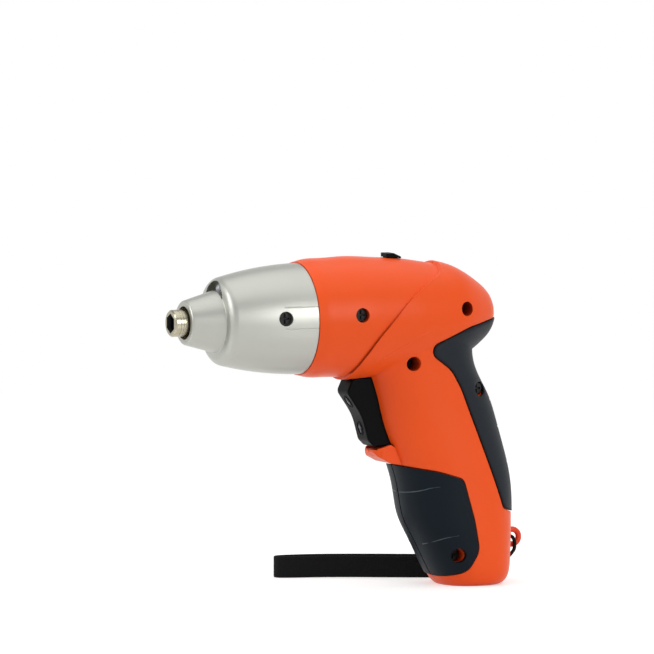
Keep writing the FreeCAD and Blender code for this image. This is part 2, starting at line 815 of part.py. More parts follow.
def rubber_zone(table, cut_depth_solid, skin):
    """One pair of rubber skins, left and right, inside a side outline."""
    region = across(grip_outline(table).makeOffset2D(-rubber_gap), far)
    layer = skin.common(region).cut(cut_depth_solid)
    return [layer.common(half_space(side)) for side in (-1, 1)]


def rubber_parting():
    """Groove along the mid-plane where the rubber skins of both halves meet."""
    half_line = rubber_parting_width / 2
    strip = block((-far, far), (-half_line, half_line), (wall, far + axis_height))
    return strip.cut(casing_solid(rubber_parting_depth))


def palm_grooves():
    """Shallow grooves across the back of the palm grip."""
    cutters = []
    half_depth = grip_depth / 4
    half_width = rubber_groove_half_width
    half_height = rubber_groove_width / 2
    for shares in groove_shares:
        centre = grip_point(*shares)
        cutter = block((-half_depth, half_depth), (-half_width, half_width), (-half_height, half_height))
        cutter.Placement = Placement(centre, Rotation(Vector(0, 1, 0), rubber_groove_tilt))
        cutters.append(cutter)
    return cutters[0].fuse(cutters[1:]).cut(casing_solid(rubber_groove_depth))


def slide_slot(half_width, x_start, x_end):
    """The slot in the barrel's top that the slide's stem passes through."""
    return block((x_start, x_end), (-half_width, half_width), (axis_height + motor_radius, axis_height + far))


def make_knob():
    """Slide knob with a sloping tail, and its stem into the lamp switch."""
    end_x = knob_x + knob_length + knob_tail
    tail = axis_height + barrel_radius_at(end_x)
    top = axis_height + knob_floor + knob_height
    points = [Vector(knob_x, 0, tail - knob_height), Vector(knob_x, 0, top),
              Vector(knob_x + knob_length, 0, top), Vector(end_x, 0, tail + 3 * knob_lift),
              Vector(end_x, 0, tail - knob_height)]
    cap = across(Part.makePolygon(points + points[:1]), knob_half_width).cut(barrel_solid(-knob_lift))
    stem = block((knob_x + knob_lift, knob_x + knob_lift + knob_stem_length),
                 (-knob_stem_half_width, knob_stem_half_width),
                 (axis_height + lamp_switch_top - knob_lift, axis_height + knob_floor))
    return cap.fuse(stem)


def make_lamp_switch():
    """Small slide switch under the barrel's top, with a groove for the stem."""
    x = knob_x + knob_stem_length / 2 + knob_travel / 2 - lamp_switch_length / 2
    top = axis_height + lamp_switch_top
    body = block((x, x + lamp_switch_length), (-lamp_switch_half_width, lamp_switch_half_width),
                 (top - lamp_switch_height, top))
    groove = block((knob_x, knob_x + knob_stem_length + knob_travel + 2 * knob_lift),
                   (-knob_stem_half_width - slot_gap, knob_stem_half_width + slot_gap),
                   (top - 2 * knob_lift, top + overrun))
    return body.cut(groove)


def make_trigger():
    """Rocker trigger with rounded rims and its pin hole."""
    body = across(trigger_wire(), trigger_half_width)
    back_limit = pivot.x + trigger_back - trigger_rim
    side_limit = trigger_half_width - trigger_rim
    rims = []
    for edge in body.Edges:
        centre = edge.CenterOfMass
        level = edge.BoundBox.YLength < trigger_rim
        if level and centre.x < back_limit and abs(centre.y) > side_limit:
            rims.append(edge)
    body = body.makeFillet(trigger_rim, rims)
    hole = cylinder_y(trigger_pin_radius + trigger_pin_fit, pivot, -far, far)
    return body.cut(hole)


def make_trigger_pin():
    """Pivot pin of the trigger."""
    reach = trigger_half_width + trigger_side_gap + trigger_pin_bearing
    return cylinder_y(trigger_pin_radius, pivot, -reach, reach)


def plunger_place(side):
    """Where the upper (+1) or lower (-1) plunger meets the trigger's back."""
    return Vector(pivot.x + trigger_back + plunger_gap, 0, pivot.z + side * plunger_arm)


def make_plunger(side):
    """Plunger that the trigger's back presses."""
    return Part.makeCylinder(plunger_radius, plunger_length, plunger_place(side), Vector(1, 0, 0))


def make_switch():
    """Switch body with a blind bore for each plunger."""
    body = block((switch_x, switch_x + switch_depth), (-switch_half_width, switch_half_width),
                 (pivot.z - switch_height / 2, pivot.z + switch_height / 2))
    bore_radius = plunger_radius + plunger_fit
    depth = plunger_length + plunger_room
    for side in (-1, 1):
        body = body.cut(Part.makeCylinder(bore_radius, depth, plunger_place(side), Vector(1, 0, 0)))
    return body


def make_tabs():
    """Welded strips: one joins the back pair on top, one joins the front cell to a back cell below."""
    left, right, front = cell_places()
    top = block((left.x - tab_half_width, left.x + tab_half_width), (left.y, right.y),
                (cell_length, cell_length + tab_thickness))
    middle = (front + right) * 0.5
    span = (right - front).Length
    bottom = block((-span / 2, span / 2), (-tab_half_width, tab_half_width), (-tab_thickness, 0))
    bottom.Placement = Placement(middle, Rotation(Vector(1, 0, 0), right - front))
    lone = block((front.x - tab_half_width, front.x + tab_half_width), (-tab_half_width, tab_half_width),
                 (cell_length, cell_length + tab_thickness))
    shapes = [top, bottom, lone]
    return Part.makeCompound([shape.transformGeometry(pack_placement().toMatrix()) for shape in shapes])


def make_charge_socket():
    """Round charging socket in the base, with its pin and inner flange."""
    base = Vector(socket_offset, 0, socket_lift)
    body = Part.makeCylinder(socket_radius, socket_height, base)
    flange = Part.makeCylinder(socket_radius + socket_flange, rib_thickness,
                               Vector(socket_offset, 0, wall + socket_gap))
    bore = Part.makeCylinder(socket_bore, socket_height - rib_thickness, base)
    pin = Part.makeCylinder(socket_pin_radius, socket_height - rib_thickness, base)
    return body.fuse(flange).cut(bore).fuse(pin)


def round_section(points, radius):
    """A round section at the start of a route."""
    return Part.Wire(Part.makeCircle(radius, points[0], points[1] - points[0]))


def tube_along(points, section):
    """A section swept along straight runs joined by large arcs, with those radii and the path's length."""
    edges = []
    radii = []
    last = points[0]
    for before, corner, after in zip(points, points[1:], points[2:]):
        back = before - corner
        ahead = after - corner
        setback = bend_share * min(back.Length, ahead.Length)
        half = back.getAngle(ahead) / 2
        bend = setback * math.tan(half)
        radii.append(bend)
        back = back.normalize()
        ahead = ahead.normalize()
        start = corner + back * setback
        end = corner + ahead * setback
        middle = corner + (back + ahead).normalize() * (bend / math.sin(half) - bend)
        edges.append(Part.makeLine(last, start))
        edges.append(Part.Arc(start, middle, end).toShape())
        last = end
    edges.append(Part.makeLine(last, points[-1]))
    path = Part.Wire(edges)
    return path.makePipeShell([section], True, False), radii, path.Length


def make_webbing():
    """Flat strap on its edge: a strip swept along the loop's plan."""
    points = [Vector(x, y, 0) for x, y in webbing_route]
    first = (points[1] - points[0]).normalize()
    aside = Vector(-first.y, first.x, 0) * (strap_thickness / 2)
    up = Vector(0, 0, strap_width)
    corners = [points[0] - aside, points[0] + aside, points[0] + aside + up, points[0] - aside + up]
    strip, radii, length = tube_along(points, Part.makePolygon(corners + corners[:1]))
    print("webbing radii", [round(r, 1) for r in radii], "length", round(length, 1),
          "volume share", round(strip.Volume / (strap_width * strap_thickness * length), 4))
    return strip


def make_strap_cord():
    """Thin cord that goes through the eyelet and back to the clasp."""
    points = [Vector(*point) for point in cord_route]
    cord, radii, length = tube_along(points, round_section(points, strap_cord_radius))
    print("cord radii", [round(r, 1) for r in radii], "length", round(length, 1),
          "volume share", round(cord.Volume / (math.pi * strap_cord_radius ** 2 * length), 4))
    return cord


def make_clasp(cut_by):
    """Moulded bead where cord and webbing meet."""
    x, y = clasp_place
    body = block((x - clasp_length / 2, x + clasp_length / 2), (y - clasp_depth / 2, y + clasp_depth / 2),
                 (0, clasp_height))
    body = body.makeFillet(clasp_round, [edge for edge in body.Edges if edge.BoundBox.ZMin > clasp_round
                                         or edge.BoundBox.ZLength > clasp_round])
    for other in cut_by:
        body = body.cut(other)
    return body


def make_eyelet(casing):
    """Moulded ring low on the back of the handle."""
    ring = Part.makeTorus(eyelet_ring_radius, eyelet_wire_radius, eyelet_centre, Vector(0, 1, 0))
    return ring.cut(casing)


def motor_wire_points(side):
    """Route of a motor lead from the end cap down to the switch."""
    y = side * wire_spread
    turn_x = switch_x + switch_depth / 2
    start = Vector(cap_end_x, y, axis_height - wire_drop)
    return [start, Vector(turn_x, y, axis_height - wire_drop),
            Vector(turn_x, y, pivot.z + switch_height / 2)]


def make_motor_wires():
    """Two leads between motor and switch."""
    routes = [motor_wire_points(side) for side in (-1, 1)]
    sections = [round_section(points, wire_radius) for points in routes]
    return Part.makeCompound([tube_along(*pair)[0] for pair in zip(routes, sections)])


def make_battery_wires():
    """Two leads between the switch and the tabs on top of the cells."""
    wires = []
    left, right, front = cell_places()
    for target, y in ((left, -wire_lane), (front, wire_lane)):
        foot = pack_placement().multVec(Vector(target.x, y, cell_length + tab_thickness))
        foot.z += wire_gap
        start = Vector(switch_x + switch_depth, y, pivot.z + switch_height / 4)
        points = [start, Vector(foot.x, y, start.z), foot]
        wires.append(tube_along(points, round_section(points, wire_radius))[0])
    return Part.makeCompound(wires)


def casing_ribs():
    """Ribs that hold motor, switch and cells, before the casing's inner wall trims them."""
    envelope = [cell(place, cell_clearance) for place in cell_places()]
    ribs = []
    for share in cradle_rib_shares:
        z = pack_floor + share * cell_length
        slab = block((-far, far), (-far, far), (z, z + rib_thickness))
        ribs.append(slab.cut(envelope[0].fuse(envelope[1:])))
    rib_x = motor_end_x - 3 * rib_thickness
    ribs.append(ring_x(barrel_radius, motor_radius + motor_fit, rib_x, rib_thickness))
    depth = (switch_x, switch_x + switch_depth)
    low = pivot.z - switch_height / 2 - switch_gap - rib_thickness
    high = pivot.z + switch_height / 2 + switch_gap
    below = block(depth, (-far, far), (low, low + rib_thickness))
    above = block(depth, (-far, far), (high, high + rib_thickness))
    for side in (-1, 1):
        lead = Vector(switch_x + switch_depth / 2, side * wire_spread, pivot.z)
        above = above.cut(Part.makeCylinder(2 * wire_radius, far, lead))
    return ribs + [below, above]


def casing_bosses():
    """Bosses for the housing screws, the trigger pin and the barrel screws."""
    bosses = [cylinder_y(screw_boss_radius, place, -far, far) for place in housing_screw_places]
    bosses.append(cylinder_y(2 * trigger_pin_radius + wall / 2, pivot, -far, far))
    pads = cylinder_y(lug_radius, barrel_screw_place, -far, far)
    reach = cradle_reach + lug_gap
    bosses.append(pads.cut(cylinder_y(far, barrel_screw_place, -reach, reach)))
    return bosses


def make_casing(outer):
    """The hollow casing before it is split."""
    hollow = casing_solid(wall, overrun)
    for piece in casing_ribs() + casing_bosses():
        hollow = hollow.cut(piece)
    body = outer.cut(hollow)
    half_line = parting_width / 2
    parting = block((-far, far), (-half_line, half_line), (wall, far + axis_height))
    body = body.cut(parting.cut(casing_solid(parting_depth)))
    rubber_floor = casing_solid(rubber_depth)
    for table in (palm_shares, panel_shares):
        body = body.cut(across(grip_outline(table), far).cut(rubber_floor))
    slot_half = trigger_half_width + trigger_side_gap
    body = body.cut(across(trigger_wire().makeOffset2D(trigger_room), slot_half))
    pin_reach = slot_half + trigger_pin_bearing + trigger_side_gap
    body = body.cut(cylinder_y(trigger_pin_radius + screw_fit, pivot, -pin_reach, pin_reach))
    for place in housing_screw_places:
        body = body.cut(cylinder_y(screw_pocket_radius, place, -screw_seat, -far))
        body = body.cut(cylinder_y(screw_hole_radius, place, 0, -far))
        body = body.cut(cylinder_y(screw_radius + screw_fit, place, 0, screw_reach + gear_play))
    seat = barrel_screw_seat
    for side in (-1, 1):
        body = body.cut(cylinder_y(screw_pocket_radius, barrel_screw_place, side * seat, side * far))
        body = body.cut(cylinder_y(screw_hole_radius, barrel_screw_place, side * motor_radius, side * far))
    slot_start = knob_x + knob_lift - slot_gap
    slot_end = slot_start + knob_stem_length + knob_travel + 2 * slot_gap
    body = body.cut(slide_slot(knob_stem_half_width + slot_gap, slot_start, slot_end))
    below = Vector(socket_offset, 0, -overrun)
    return body.cut(Part.makeCylinder(socket_radius + socket_gap, overrun + wall + socket_gap, below))


def make_outer():
    """Outer form of the casing: barrel, raised yoke, handle and the lip under the trigger."""
    yoke = barrel_solid(-yoke_step).common(across(grip_outline(yoke_shares), far))
    lip = across(grip_outline(lip_shares), lip_half_width)
    tip = grip_point(*lip_shares[1][:2])
    lip = lip.common(Part.makeCylinder(lip_round, far, Vector(tip.x + lip_round, 0, 0)))
    return barrel_solid(0).fuse([grip_solid(0), yoke, lip])


def make_lamp():
    """Clear round-nosed lamp in the arch above the snout."""
    floor_x = snout_x + snout_length + lamp_floor_inset
    back_x = floor_x + nose_wall + lamp_flange_length
    tip_x = back_x - lamp_length
    body = cylinder_x(lamp_radius, tip_x + lamp_radius, back_x - tip_x - lamp_radius, 0, lamp_height)
    dome = Part.makeSphere(lamp_radius, Vector(tip_x + lamp_radius, 0, axis_height + lamp_height))
    flange = cylinder_x(lamp_radius + lamp_flange, floor_x + nose_wall, lamp_flange_length, 0, lamp_height)
    return body.fuse([dome, flange])


def build():
    """Every node by its name."""
    outer = make_outer()
    casing = make_casing(outer)
    floor = casing_solid(rubber_depth)
    skin = barrel_solid(-yoke_step - rubber_proud).fuse(grip_solid(-rubber_proud))
    palm = rubber_zone(palm_shares, floor, skin)
    panel = rubber_zone(panel_shares, floor, skin)
    pockets = [cylinder_y(screw_pocket_radius, place, -screw_seat, -far) for place in housing_screw_places]
    parting = rubber_parting()
    grooves = palm_grooves().fuse(parting)
    webbing = make_webbing()
    cord = make_strap_cord()
    nodes = {
        "left_housing": casing.common(half_space(-1)),
        "right_housing": casing.common(half_space(1)),
        "left_palm_grip": palm[0].cut(pockets[2]).cut(grooves),
        "right_palm_grip": palm[1].cut(grooves),
        "left_finger_grip": panel[0].cut(pockets[3]).cut(parting),
        "right_finger_grip": panel[1].cut(parting),
        "nose_cover": make_nose(),
        "spindle": make_spindle(),
        "bit_ring": make_bit_ring(),
        "socket_magnet": make_magnet(),
        "spindle_bush": make_bush(),
        "thrust_washer": make_washer(),
        "gearbox_case": make_case(),
        "stage_carrier": make_stage_carrier(),
        "pinion": make_pinion(),
        "gearbox_plate": make_plate(),
        "motor_can": make_can(),
        "motor_magnets": make_motor_magnets(),
        "motor_end_cap": make_end_cap(),
        "armature": make_armature(),
        "motor_bushes": make_motor_bushes(),
        "motor_cradle": make_cradle(),
        "nose_screws": make_nose_screws(),
        "barrel_screws": make_barrel_screws(),
        "housing_screws": make_housing_screws(),
        "trigger": make_trigger(),
        "trigger_pin": make_trigger_pin(),
        "switch_body": make_switch(),
        "upper_plunger": make_plunger(1),
        "lower_plunger": make_plunger(-1),
        "slide_knob": make_knob(),
        "lamp_switch": make_lamp_switch(),
        "lamp": make_lamp(),
        "cell_tabs": make_tabs(),
        "charge_socket": make_charge_socket(),
        "motor_wires": make_motor_wires(),
        "battery_wires": make_battery_wires(),
        "strap_eyelet": make_eyelet(outer),
        "strap_webbing": webbing,
        "strap_cord": cord,
        "strap_clasp": make_clasp([webbing, cord]),
    }
    for index in range(planet_count):
        number = str(index + 1)
        nodes["output_planet_" + number] = make_planet(orbit[index], orbit_angles[index], output_planet_x)
        nodes["input_planet_" + number] = make_planet(orbit[index], orbit_angles[index], input_planet_x)
        nodes["battery_cell_" + number] = cell(cell_places()[index])
    return nodes


def main():
    """Write one file for each node."""
    os.makedirs("parts", exist_ok=True)
    for name, shape in build().items():
        print(name, shape.isValid(), len(shape.Solids), round(shape.Volume, 1))
        shape.exportStep("parts/" + name + ".step")


main()
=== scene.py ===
"""Looks of a cordless pistol-grip screwdriver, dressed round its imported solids, in metres."""

import logging
import math
from dataclasses import dataclass
from enum import Enum
from functools import lru_cache
from typing import Any

import bmesh
import bpy
from mathutils import Matrix, Vector
from mathutils.bvhtree import BVHTree
from mathutils.kdtree import KDTree


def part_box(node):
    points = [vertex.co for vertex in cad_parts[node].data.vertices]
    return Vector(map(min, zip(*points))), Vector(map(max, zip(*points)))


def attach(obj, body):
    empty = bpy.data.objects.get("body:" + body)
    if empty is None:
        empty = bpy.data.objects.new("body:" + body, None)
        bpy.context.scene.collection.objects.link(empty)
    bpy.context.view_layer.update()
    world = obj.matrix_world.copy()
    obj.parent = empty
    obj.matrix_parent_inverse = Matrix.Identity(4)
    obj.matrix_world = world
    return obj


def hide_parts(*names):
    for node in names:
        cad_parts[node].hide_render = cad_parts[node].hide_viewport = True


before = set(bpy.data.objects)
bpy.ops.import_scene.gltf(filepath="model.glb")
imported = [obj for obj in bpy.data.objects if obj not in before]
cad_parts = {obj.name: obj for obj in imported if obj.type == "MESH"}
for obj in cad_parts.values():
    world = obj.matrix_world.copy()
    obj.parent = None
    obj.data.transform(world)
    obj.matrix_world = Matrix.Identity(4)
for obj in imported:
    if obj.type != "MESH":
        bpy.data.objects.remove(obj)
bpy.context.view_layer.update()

MM = 0.001
LOG = logging.getLogger("screwdriver")

# How new pieces are meshed
MERGE_DISTANCE = 1e-7
SHARP_ANGLE = math.radians(40)
CURVE_STEPS = 10
CURVE_ORDER = 3
ROUND_STEPS = 3
UV_NAME = "UVMap"
AT_ORIGIN = Matrix.Identity(4)

# What several finishes share: the span that noise mostly stays in, and the wave pattern's length at scale 1
NOISE_SPAN = (0.3, 0.7)
WAVE_LENGTH = 0.31
CLOUD_DETAIL = 3.0
EDGE_SAMPLES = 6
# Samples of the painted shade in holes
PAINTED_SHADE_SAMPLES = 8
RESIN_IOR = 1.5
FIBRE_IOR = 1.45


class Body(Enum):
    """The bodies that new pieces ride on."""

    HOUSING = "housing"
    TRIGGER = "trigger"


class Grain(Enum):
    """How a metal surface was made, as how close its grain lies along X, Y and Z."""

    TURNED = (1.0, 0.02, 0.02)
    DRAWN = (0.05, 1.0, 1.0)
    SINTERED = (1.0, 1.0, 1.0)


def linear(colour: str) -> tuple[float, float, float, float]:
    """Turn an sRGB hex colour to linear values.

    Args:
        colour: The colour as #RRGGBB.

    Returns:
        Red, green and blue in linear light, and an alpha of 1.
    """
    channels = [int(colour[start:start + 2], 16) / 255 for start in (1, 3, 5)]
    red, green, blue = [c / 12.92 if c <= 0.04045 else ((c + 0.055) / 1.055) ** 2.4 for c in channels]
    return red, green, blue, 1.0


def toned(colour: str, factor: float) -> tuple[float, float, float, float]:
    """Darken or lighten a colour.

    Args:
        colour: The colour as #RRGGBB.
        factor: What its linear values are multiplied by.

    Returns:
        The linear colour with an alpha of 1.
    """
    red, green, blue, alpha = linear(colour)
    return red * factor, green * factor, blue * factor, alpha


def add_node(tree: bpy.types.NodeTree, kind: str, inputs: dict[Any, Any], **options: Any) -> bpy.types.Node:
    """Add a node with its settings and links.

    Args:
        tree: The node tree that gets the node.
        kind: Blender's name of the node's type.
        inputs: A value, or the socket to link from, for each named or numbered input.
        options: Attributes of the node.

    Returns:
        The new node.
    """
    node = tree.nodes.new(kind)
    for name, value in options.items():
        setattr(node, name, value)
    for key, value in inputs.items():
        if isinstance(value, bpy.types.NodeSocket):
            tree.links.new(value, node.inputs[key])
        else:
            node.inputs[key].default_value = value
    return node


@dataclass(frozen=True)
class Finish:
    """What every finish has: its name, its colour and its clouds, its gloss and how round its edges look."""

    name: str
    colour: str
    roughness: float
    edge_mm: float = 0.25
    cloud_mm: float = 16.0
    cloud: float = 0.04

    def begin(self) -> tuple[bpy.types.Material, bpy.types.NodeTree, bpy.types.NodeSocket]:
        """Start a material.

        Returns:
            The material, its empty node tree and its Object coordinates.
        """
        material = bpy.data.materials.new(self.name)
        material.use_nodes = True
        tree = material.node_tree
        tree.nodes.clear()
        return material, tree, add_node(tree, "ShaderNodeTexCoord", {}).outputs["Object"]

    def clouded(self, tree: bpy.types.NodeTree, place: bpy.types.NodeSocket) -> bpy.types.NodeSocket:
        """Cloud the colour between a darker and a lighter tone.

        Args:
            tree: The material's node tree.
            place: The coordinates that the clouds follow.

        Returns:
            The socket of the clouded colour.
        """
        clouds = add_node(tree, "ShaderNodeTexNoise", {
            "Vector": place, "Scale": 1 / (self.cloud_mm * MM), "Detail": CLOUD_DETAIL})
        mix = add_node(tree, "ShaderNodeMix", {"Factor": clouds.outputs["Fac"]}, data_type="RGBA")
        tones = [socket for socket in mix.inputs if socket.type == "RGBA"]
        tones[0].default_value = toned(self.colour, 1 - self.cloud)
        tones[1].default_value = toned(self.colour, 1 + self.cloud)
        return next(socket for socket in mix.outputs if socket.type == "RGBA")

    def build(self) -> bpy.types.Material:
        """Make the material of this finish."""
        raise NotImplementedError(self.name)


@dataclass(frozen=True)
class Grained(Finish):
    """A surface with a fine grain, which shows in its gloss and in its relief."""

    grain_mm: float = 0.5
    grain_depth_mm: float = 0.004
    grain_detail: float = 2.0
    gloss_spread: float = 0.05

    def grained(self, tree: bpy.types.NodeTree,
                place: bpy.types.NodeSocket) -> tuple[bpy.types.NodeSocket, bpy.types.NodeSocket]:
        """Lay the grain over the surface and round its edges.

        Args:
            tree: The material's node tree.
            place: The coordinates that the grain follows.

        Returns:
            The sockets of the roughness and of the surface's direction.
        """
        grain = add_node(tree, "ShaderNodeTexNoise", {
            "Vector": place, "Scale": 1 / (self.grain_mm * MM), "Detail": self.grain_detail})
        gloss = add_node(tree, "ShaderNodeMapRange", {
            "Value": grain.outputs["Fac"], "From Min": NOISE_SPAN[0], "From Max": NOISE_SPAN[1],
            "To Min": self.roughness - self.gloss_spread, "To Max": self.roughness + self.gloss_spread})
        edge = add_node(tree, "ShaderNodeBevel", {"Radius": self.edge_mm * MM}, samples=EDGE_SAMPLES)
        bump = add_node(tree, "ShaderNodeBump", {
            "Height": grain.outputs["Fac"], "Distance": self.grain_depth_mm * MM,
            "Normal": edge.outputs["Normal"]})
        return gloss.outputs["Result"], bump.outputs["Normal"]


@dataclass(frozen=True)
class Moulded(Grained):
    """Moulded plastic or rubber: the grain of the mould, and painted shade that darkens deep holes where it
    is asked for.
    """

    specular: float = 0.25
    painted_shade_mm: float = 0.0
    # How open a place is where the painted shade is darkest and where it ends, and the darkest painted tone
    painted_shade_span: tuple[float, float] = (0.25, 0.75)
    painted_shade_tone: float = 0.25

    def build(self) -> bpy.types.Material:
        """Make the material of this finish.

        Returns:
            The material.
        """
        material, tree, place = self.begin()
        gloss, normal = self.grained(tree, place)
        shader = add_node(tree, "ShaderNodeBsdfPrincipled", {
            "Base Color": self.painted_hollow_shade(tree, self.clouded(tree, place)), "Roughness": gloss,
            "IOR": RESIN_IOR, "Specular IOR Level": self.specular, "Normal": normal})
        add_node(tree, "ShaderNodeOutputMaterial", {"Surface": shader.outputs["BSDF"]})
        return material

    def painted_hollow_shade(self, tree: bpy.types.NodeTree, colour: bpy.types.NodeSocket) -> bpy.types.NodeSocket:
        """Paint shade into the colour of deep, narrow holes and crevices, so that they look near black from
        outside.

        Args:
            tree: The material's node tree.
            colour: The socket of the open surface's colour.

        Returns:
            The socket of the colour to use.
        """
        if not self.painted_shade_mm:
            return colour
        # Painted shade: the colour falls towards its darkest tone where ambient occlusion finds the surface
        # closed in
        room = add_node(tree, "ShaderNodeAmbientOcclusion", {
            "Distance": self.painted_shade_mm * MM}, samples=PAINTED_SHADE_SAMPLES, only_local=True)
        light = add_node(tree, "ShaderNodeMapRange", {
            "Value": room.outputs["AO"], "From Min": self.painted_shade_span[0], "From Max": self.painted_shade_span[1],
            "To Min": self.painted_shade_tone, "To Max": 1.0})
        return add_node(tree, "ShaderNodeVectorMath", {
            0: colour, "Scale": light.outputs["Result"]}, operation="SCALE").outputs["Vector"]


@dataclass(frozen=True)
class Metal(Grained):
    """Bare or oxidised metal with the lines or specks of how it was made."""

    grain: Grain = Grain.SINTERED
    grain_mm: float = 0.35
    grain_depth_mm: float = 0.003
    grain_detail: float = 3.0
    gloss_spread: float = 0.06
    metallic: float = 1.0

    def build(self) -> bpy.types.Material:
        """Make the material of this finish.

        Returns:
            The material.
        """
        material, tree, place = self.begin()
        drawn = add_node(tree, "ShaderNodeMapping", {"Vector": place, "Scale": self.grain.value})
        gloss, normal = self.grained(tree, drawn.outputs["Vector"])
        shader = add_node(tree, "ShaderNodeBsdfPrincipled", {
            "Base Color": self.clouded(tree, place), "Metallic": self.metallic,
            "Roughness": gloss, "Normal": normal})
        add_node(tree, "ShaderNodeOutputMaterial", {"Surface": shader.outputs["BSDF"]})
        return material


@dataclass(frozen=True)
class SilverPaint(Finish):
    """Metallic silver paint on ABS: fine flakes under a thin clear coat."""

    flake_mm: float = 0.3
    flake: float = 0.012
    metallic: float = 0.85
    coat: float = 0.15
    coat_roughness: float = 0.2

    def build(self) -> bpy.types.Material:
        """Make the material of this finish.

        Returns:
            The material.
        """
        material, tree, place = self.begin()
        # The flakes are finer than a pixel, so they are drawn coarser to show
        flakes = add_node(tree, "ShaderNodeTexVoronoi", {
            "Vector": place, "Scale": 1 / (self.flake_mm * MM)})
        sparkle = add_node(tree, "ShaderNodeMapRange", {
            "Value": flakes.outputs["Color"], "To Min": self.roughness - self.flake,
            "To Max": self.roughness + self.flake})
        edge = add_node(tree, "ShaderNodeBevel", {"Radius": self.edge_mm * MM}, samples=EDGE_SAMPLES)
        shader = add_node(tree, "ShaderNodeBsdfPrincipled", {
            "Base Color": self.clouded(tree, place), "Metallic": self.metallic,
            "Roughness": sparkle.outputs["Result"], "Coat Weight": self.coat,
            "Coat Roughness": self.coat_roughness, "Normal": edge.outputs["Normal"]})
        add_node(tree, "ShaderNodeOutputMaterial", {"Surface": shader.outputs["BSDF"]})
        return material


@dataclass(frozen=True)
class ClearResin(Finish):
    """Clear cast resin, with faint flow lines in its gloss and a little haze inside."""

    flow_mm: float = 1.2
    flow_factor: float = 2.0
    clearness: float = 0.55

    def build(self) -> bpy.types.Material:
        """Make the material of this finish.

        Returns:
            The material.
        """
        material, tree, place = self.begin()
        flow = add_node(tree, "ShaderNodeTexNoise", {"Vector": place, "Scale": 1 / (self.flow_mm * MM)})
        gloss = add_node(tree, "ShaderNodeMapRange", {
            "Value": flow.outputs["Fac"], "To Min": self.roughness / self.flow_factor,
            "To Max": self.roughness * self.flow_factor})
        shader = add_node(tree, "ShaderNodeBsdfPrincipled", {
            "Base Color": linear(self.colour), "Roughness": gloss.outputs["Result"], "IOR": RESIN_IOR,
            "Transmission Weight": self.clearness})
        add_node(tree, "ShaderNodeOutputMaterial", {"Surface": shader.outputs["BSDF"]})
        return material


@dataclass(frozen=True)
class Woven(Finish):
    """Woven webbing or braided cord: raised threads across its own UV map, which is in metres."""

    thread_mm: float = 0.9
    thread_depth_mm: float = 0.12
    specular: float = 0.15
    sheen: float = 0.03

    def build(self) -> bpy.types.Material:
        """Make the material of this finish.

        Returns:
            The material.
        """
        material, tree, place = self.begin()
        along = add_node(tree, "ShaderNodeUVMap", {}, uv_map=UV_NAME).outputs["UV"]
        # The threads are finer than a pixel, so they are drawn coarser to show
        waves = []
        for turn in (math.pi / 4, -math.pi / 4):
            turned = add_node(tree, "ShaderNodeMapping", {"Vector": along, "Rotation": (0.0, 0.0, turn)})
            waves.append(add_node(tree, "ShaderNodeTexWave", {
                "Vector": turned.outputs["Vector"], "Scale": WAVE_LENGTH / (self.thread_mm * MM)}))
        weave = add_node(tree, "ShaderNodeMath", {
            0: waves[0].outputs["Fac"], 1: waves[1].outputs["Fac"]}, operation="MULTIPLY")
        bump = add_node(tree, "ShaderNodeBump", {
            "Height": weave.outputs["Value"], "Distance": self.thread_depth_mm * MM})
        shader = add_node(tree, "ShaderNodeBsdfPrincipled", {
            "Base Color": self.clouded(tree, place), "Roughness": self.roughness, "IOR": FIBRE_IOR,
            "Specular IOR Level": self.specular, "Sheen Weight": self.sheen,
            "Normal": bump.outputs["Normal"]})
        add_node(tree, "ShaderNodeOutputMaterial", {"Surface": shader.outputs["BSDF"]})
        return material


# ABS moulded in polished steel: satin, evenly coloured, soft broad highlights
# Painted shade darkens its colour in screw holes and crevices
ORANGE_ABS = Moulded("orange_abs_moulded", "#EF5418", 0.38, grain_depth_mm=0.002, cloud=0.025, specular=0.22,
                     painted_shade_mm=6.0)
EYELET_ABS = Moulded("red_orange_abs_moulded", "#E04526", 0.36, grain_depth_mm=0.002)
# Elastomer moulded over the casing: dull and dark, with a soft gleam along its rounded edges
GREY_ELASTOMER = Moulded("grey_elastomer_overmoulded", "#1A1F25", 0.5, edge_mm=2.5, grain_depth_mm=0.006,
                         specular=0.16)
DARK_ELASTOMER = Moulded("dark_elastomer_overmoulded", "#09141C", 0.46, grain_depth_mm=0.006, specular=0.11)
# The fine ribs are a lighter slate than their panel: a painted highlight along each crease
RIB_PAINTED_HIGHLIGHT = Moulded("painted_highlight_slate_rib", "#37464D", 0.4, specular=0.3)
# Filled nylon and acetal: satin, near black or grey, and milky where no pigment is added
BLACK_NYLON = Moulded("black_nylon_moulded", "#060708", 0.42, grain_depth_mm=0.003, specular=0.05)
SIGN_GREY = Moulded("grey_nylon_moulded_sign", "#5A5F66", 0.45)
GEAR_ACETAL = Moulded("milky_acetal_moulded", "#D8D5CA", 0.42)
# Soft vinyl and shrink film: smooth and coloured right through, the film glossier
WIRE_VINYL = Moulded("red_vinyl_insulation", "#7A1A1A", 0.4)
CELL_FILM = Moulded("green_shrink_film", "#3E7A4A", 0.25)
# Phosphor cast in resin: a dull pale yellow
PHOSPHOR = Moulded("yellow_phosphor_cast", "#E8D27A", 0.5)
# Turned and plated steel: bright, warm, with fine rings round its axis
NICKEL_STEEL = Metal("nickel_plated_steel_turned", "#A9A38F", 0.26, grain=Grain.TURNED, grain_mm=0.25)
# Drawn and rolled metal: cooler, with faint lines along its length
ZINC_STEEL = Metal("zinc_plated_steel_drawn", "#A4A6A8", 0.35, grain=Grain.DRAWN)
NICKEL_STRIP = Metal("nickel_strip_rolled", "#B4B4AF", 0.3, grain=Grain.DRAWN)
# Screw steel blackened by heat: near black and hardly reflecting
BLACK_OXIDE = Metal("black_oxide_steel_forged", "#0A0A0B", 0.5, metallic=0.3)
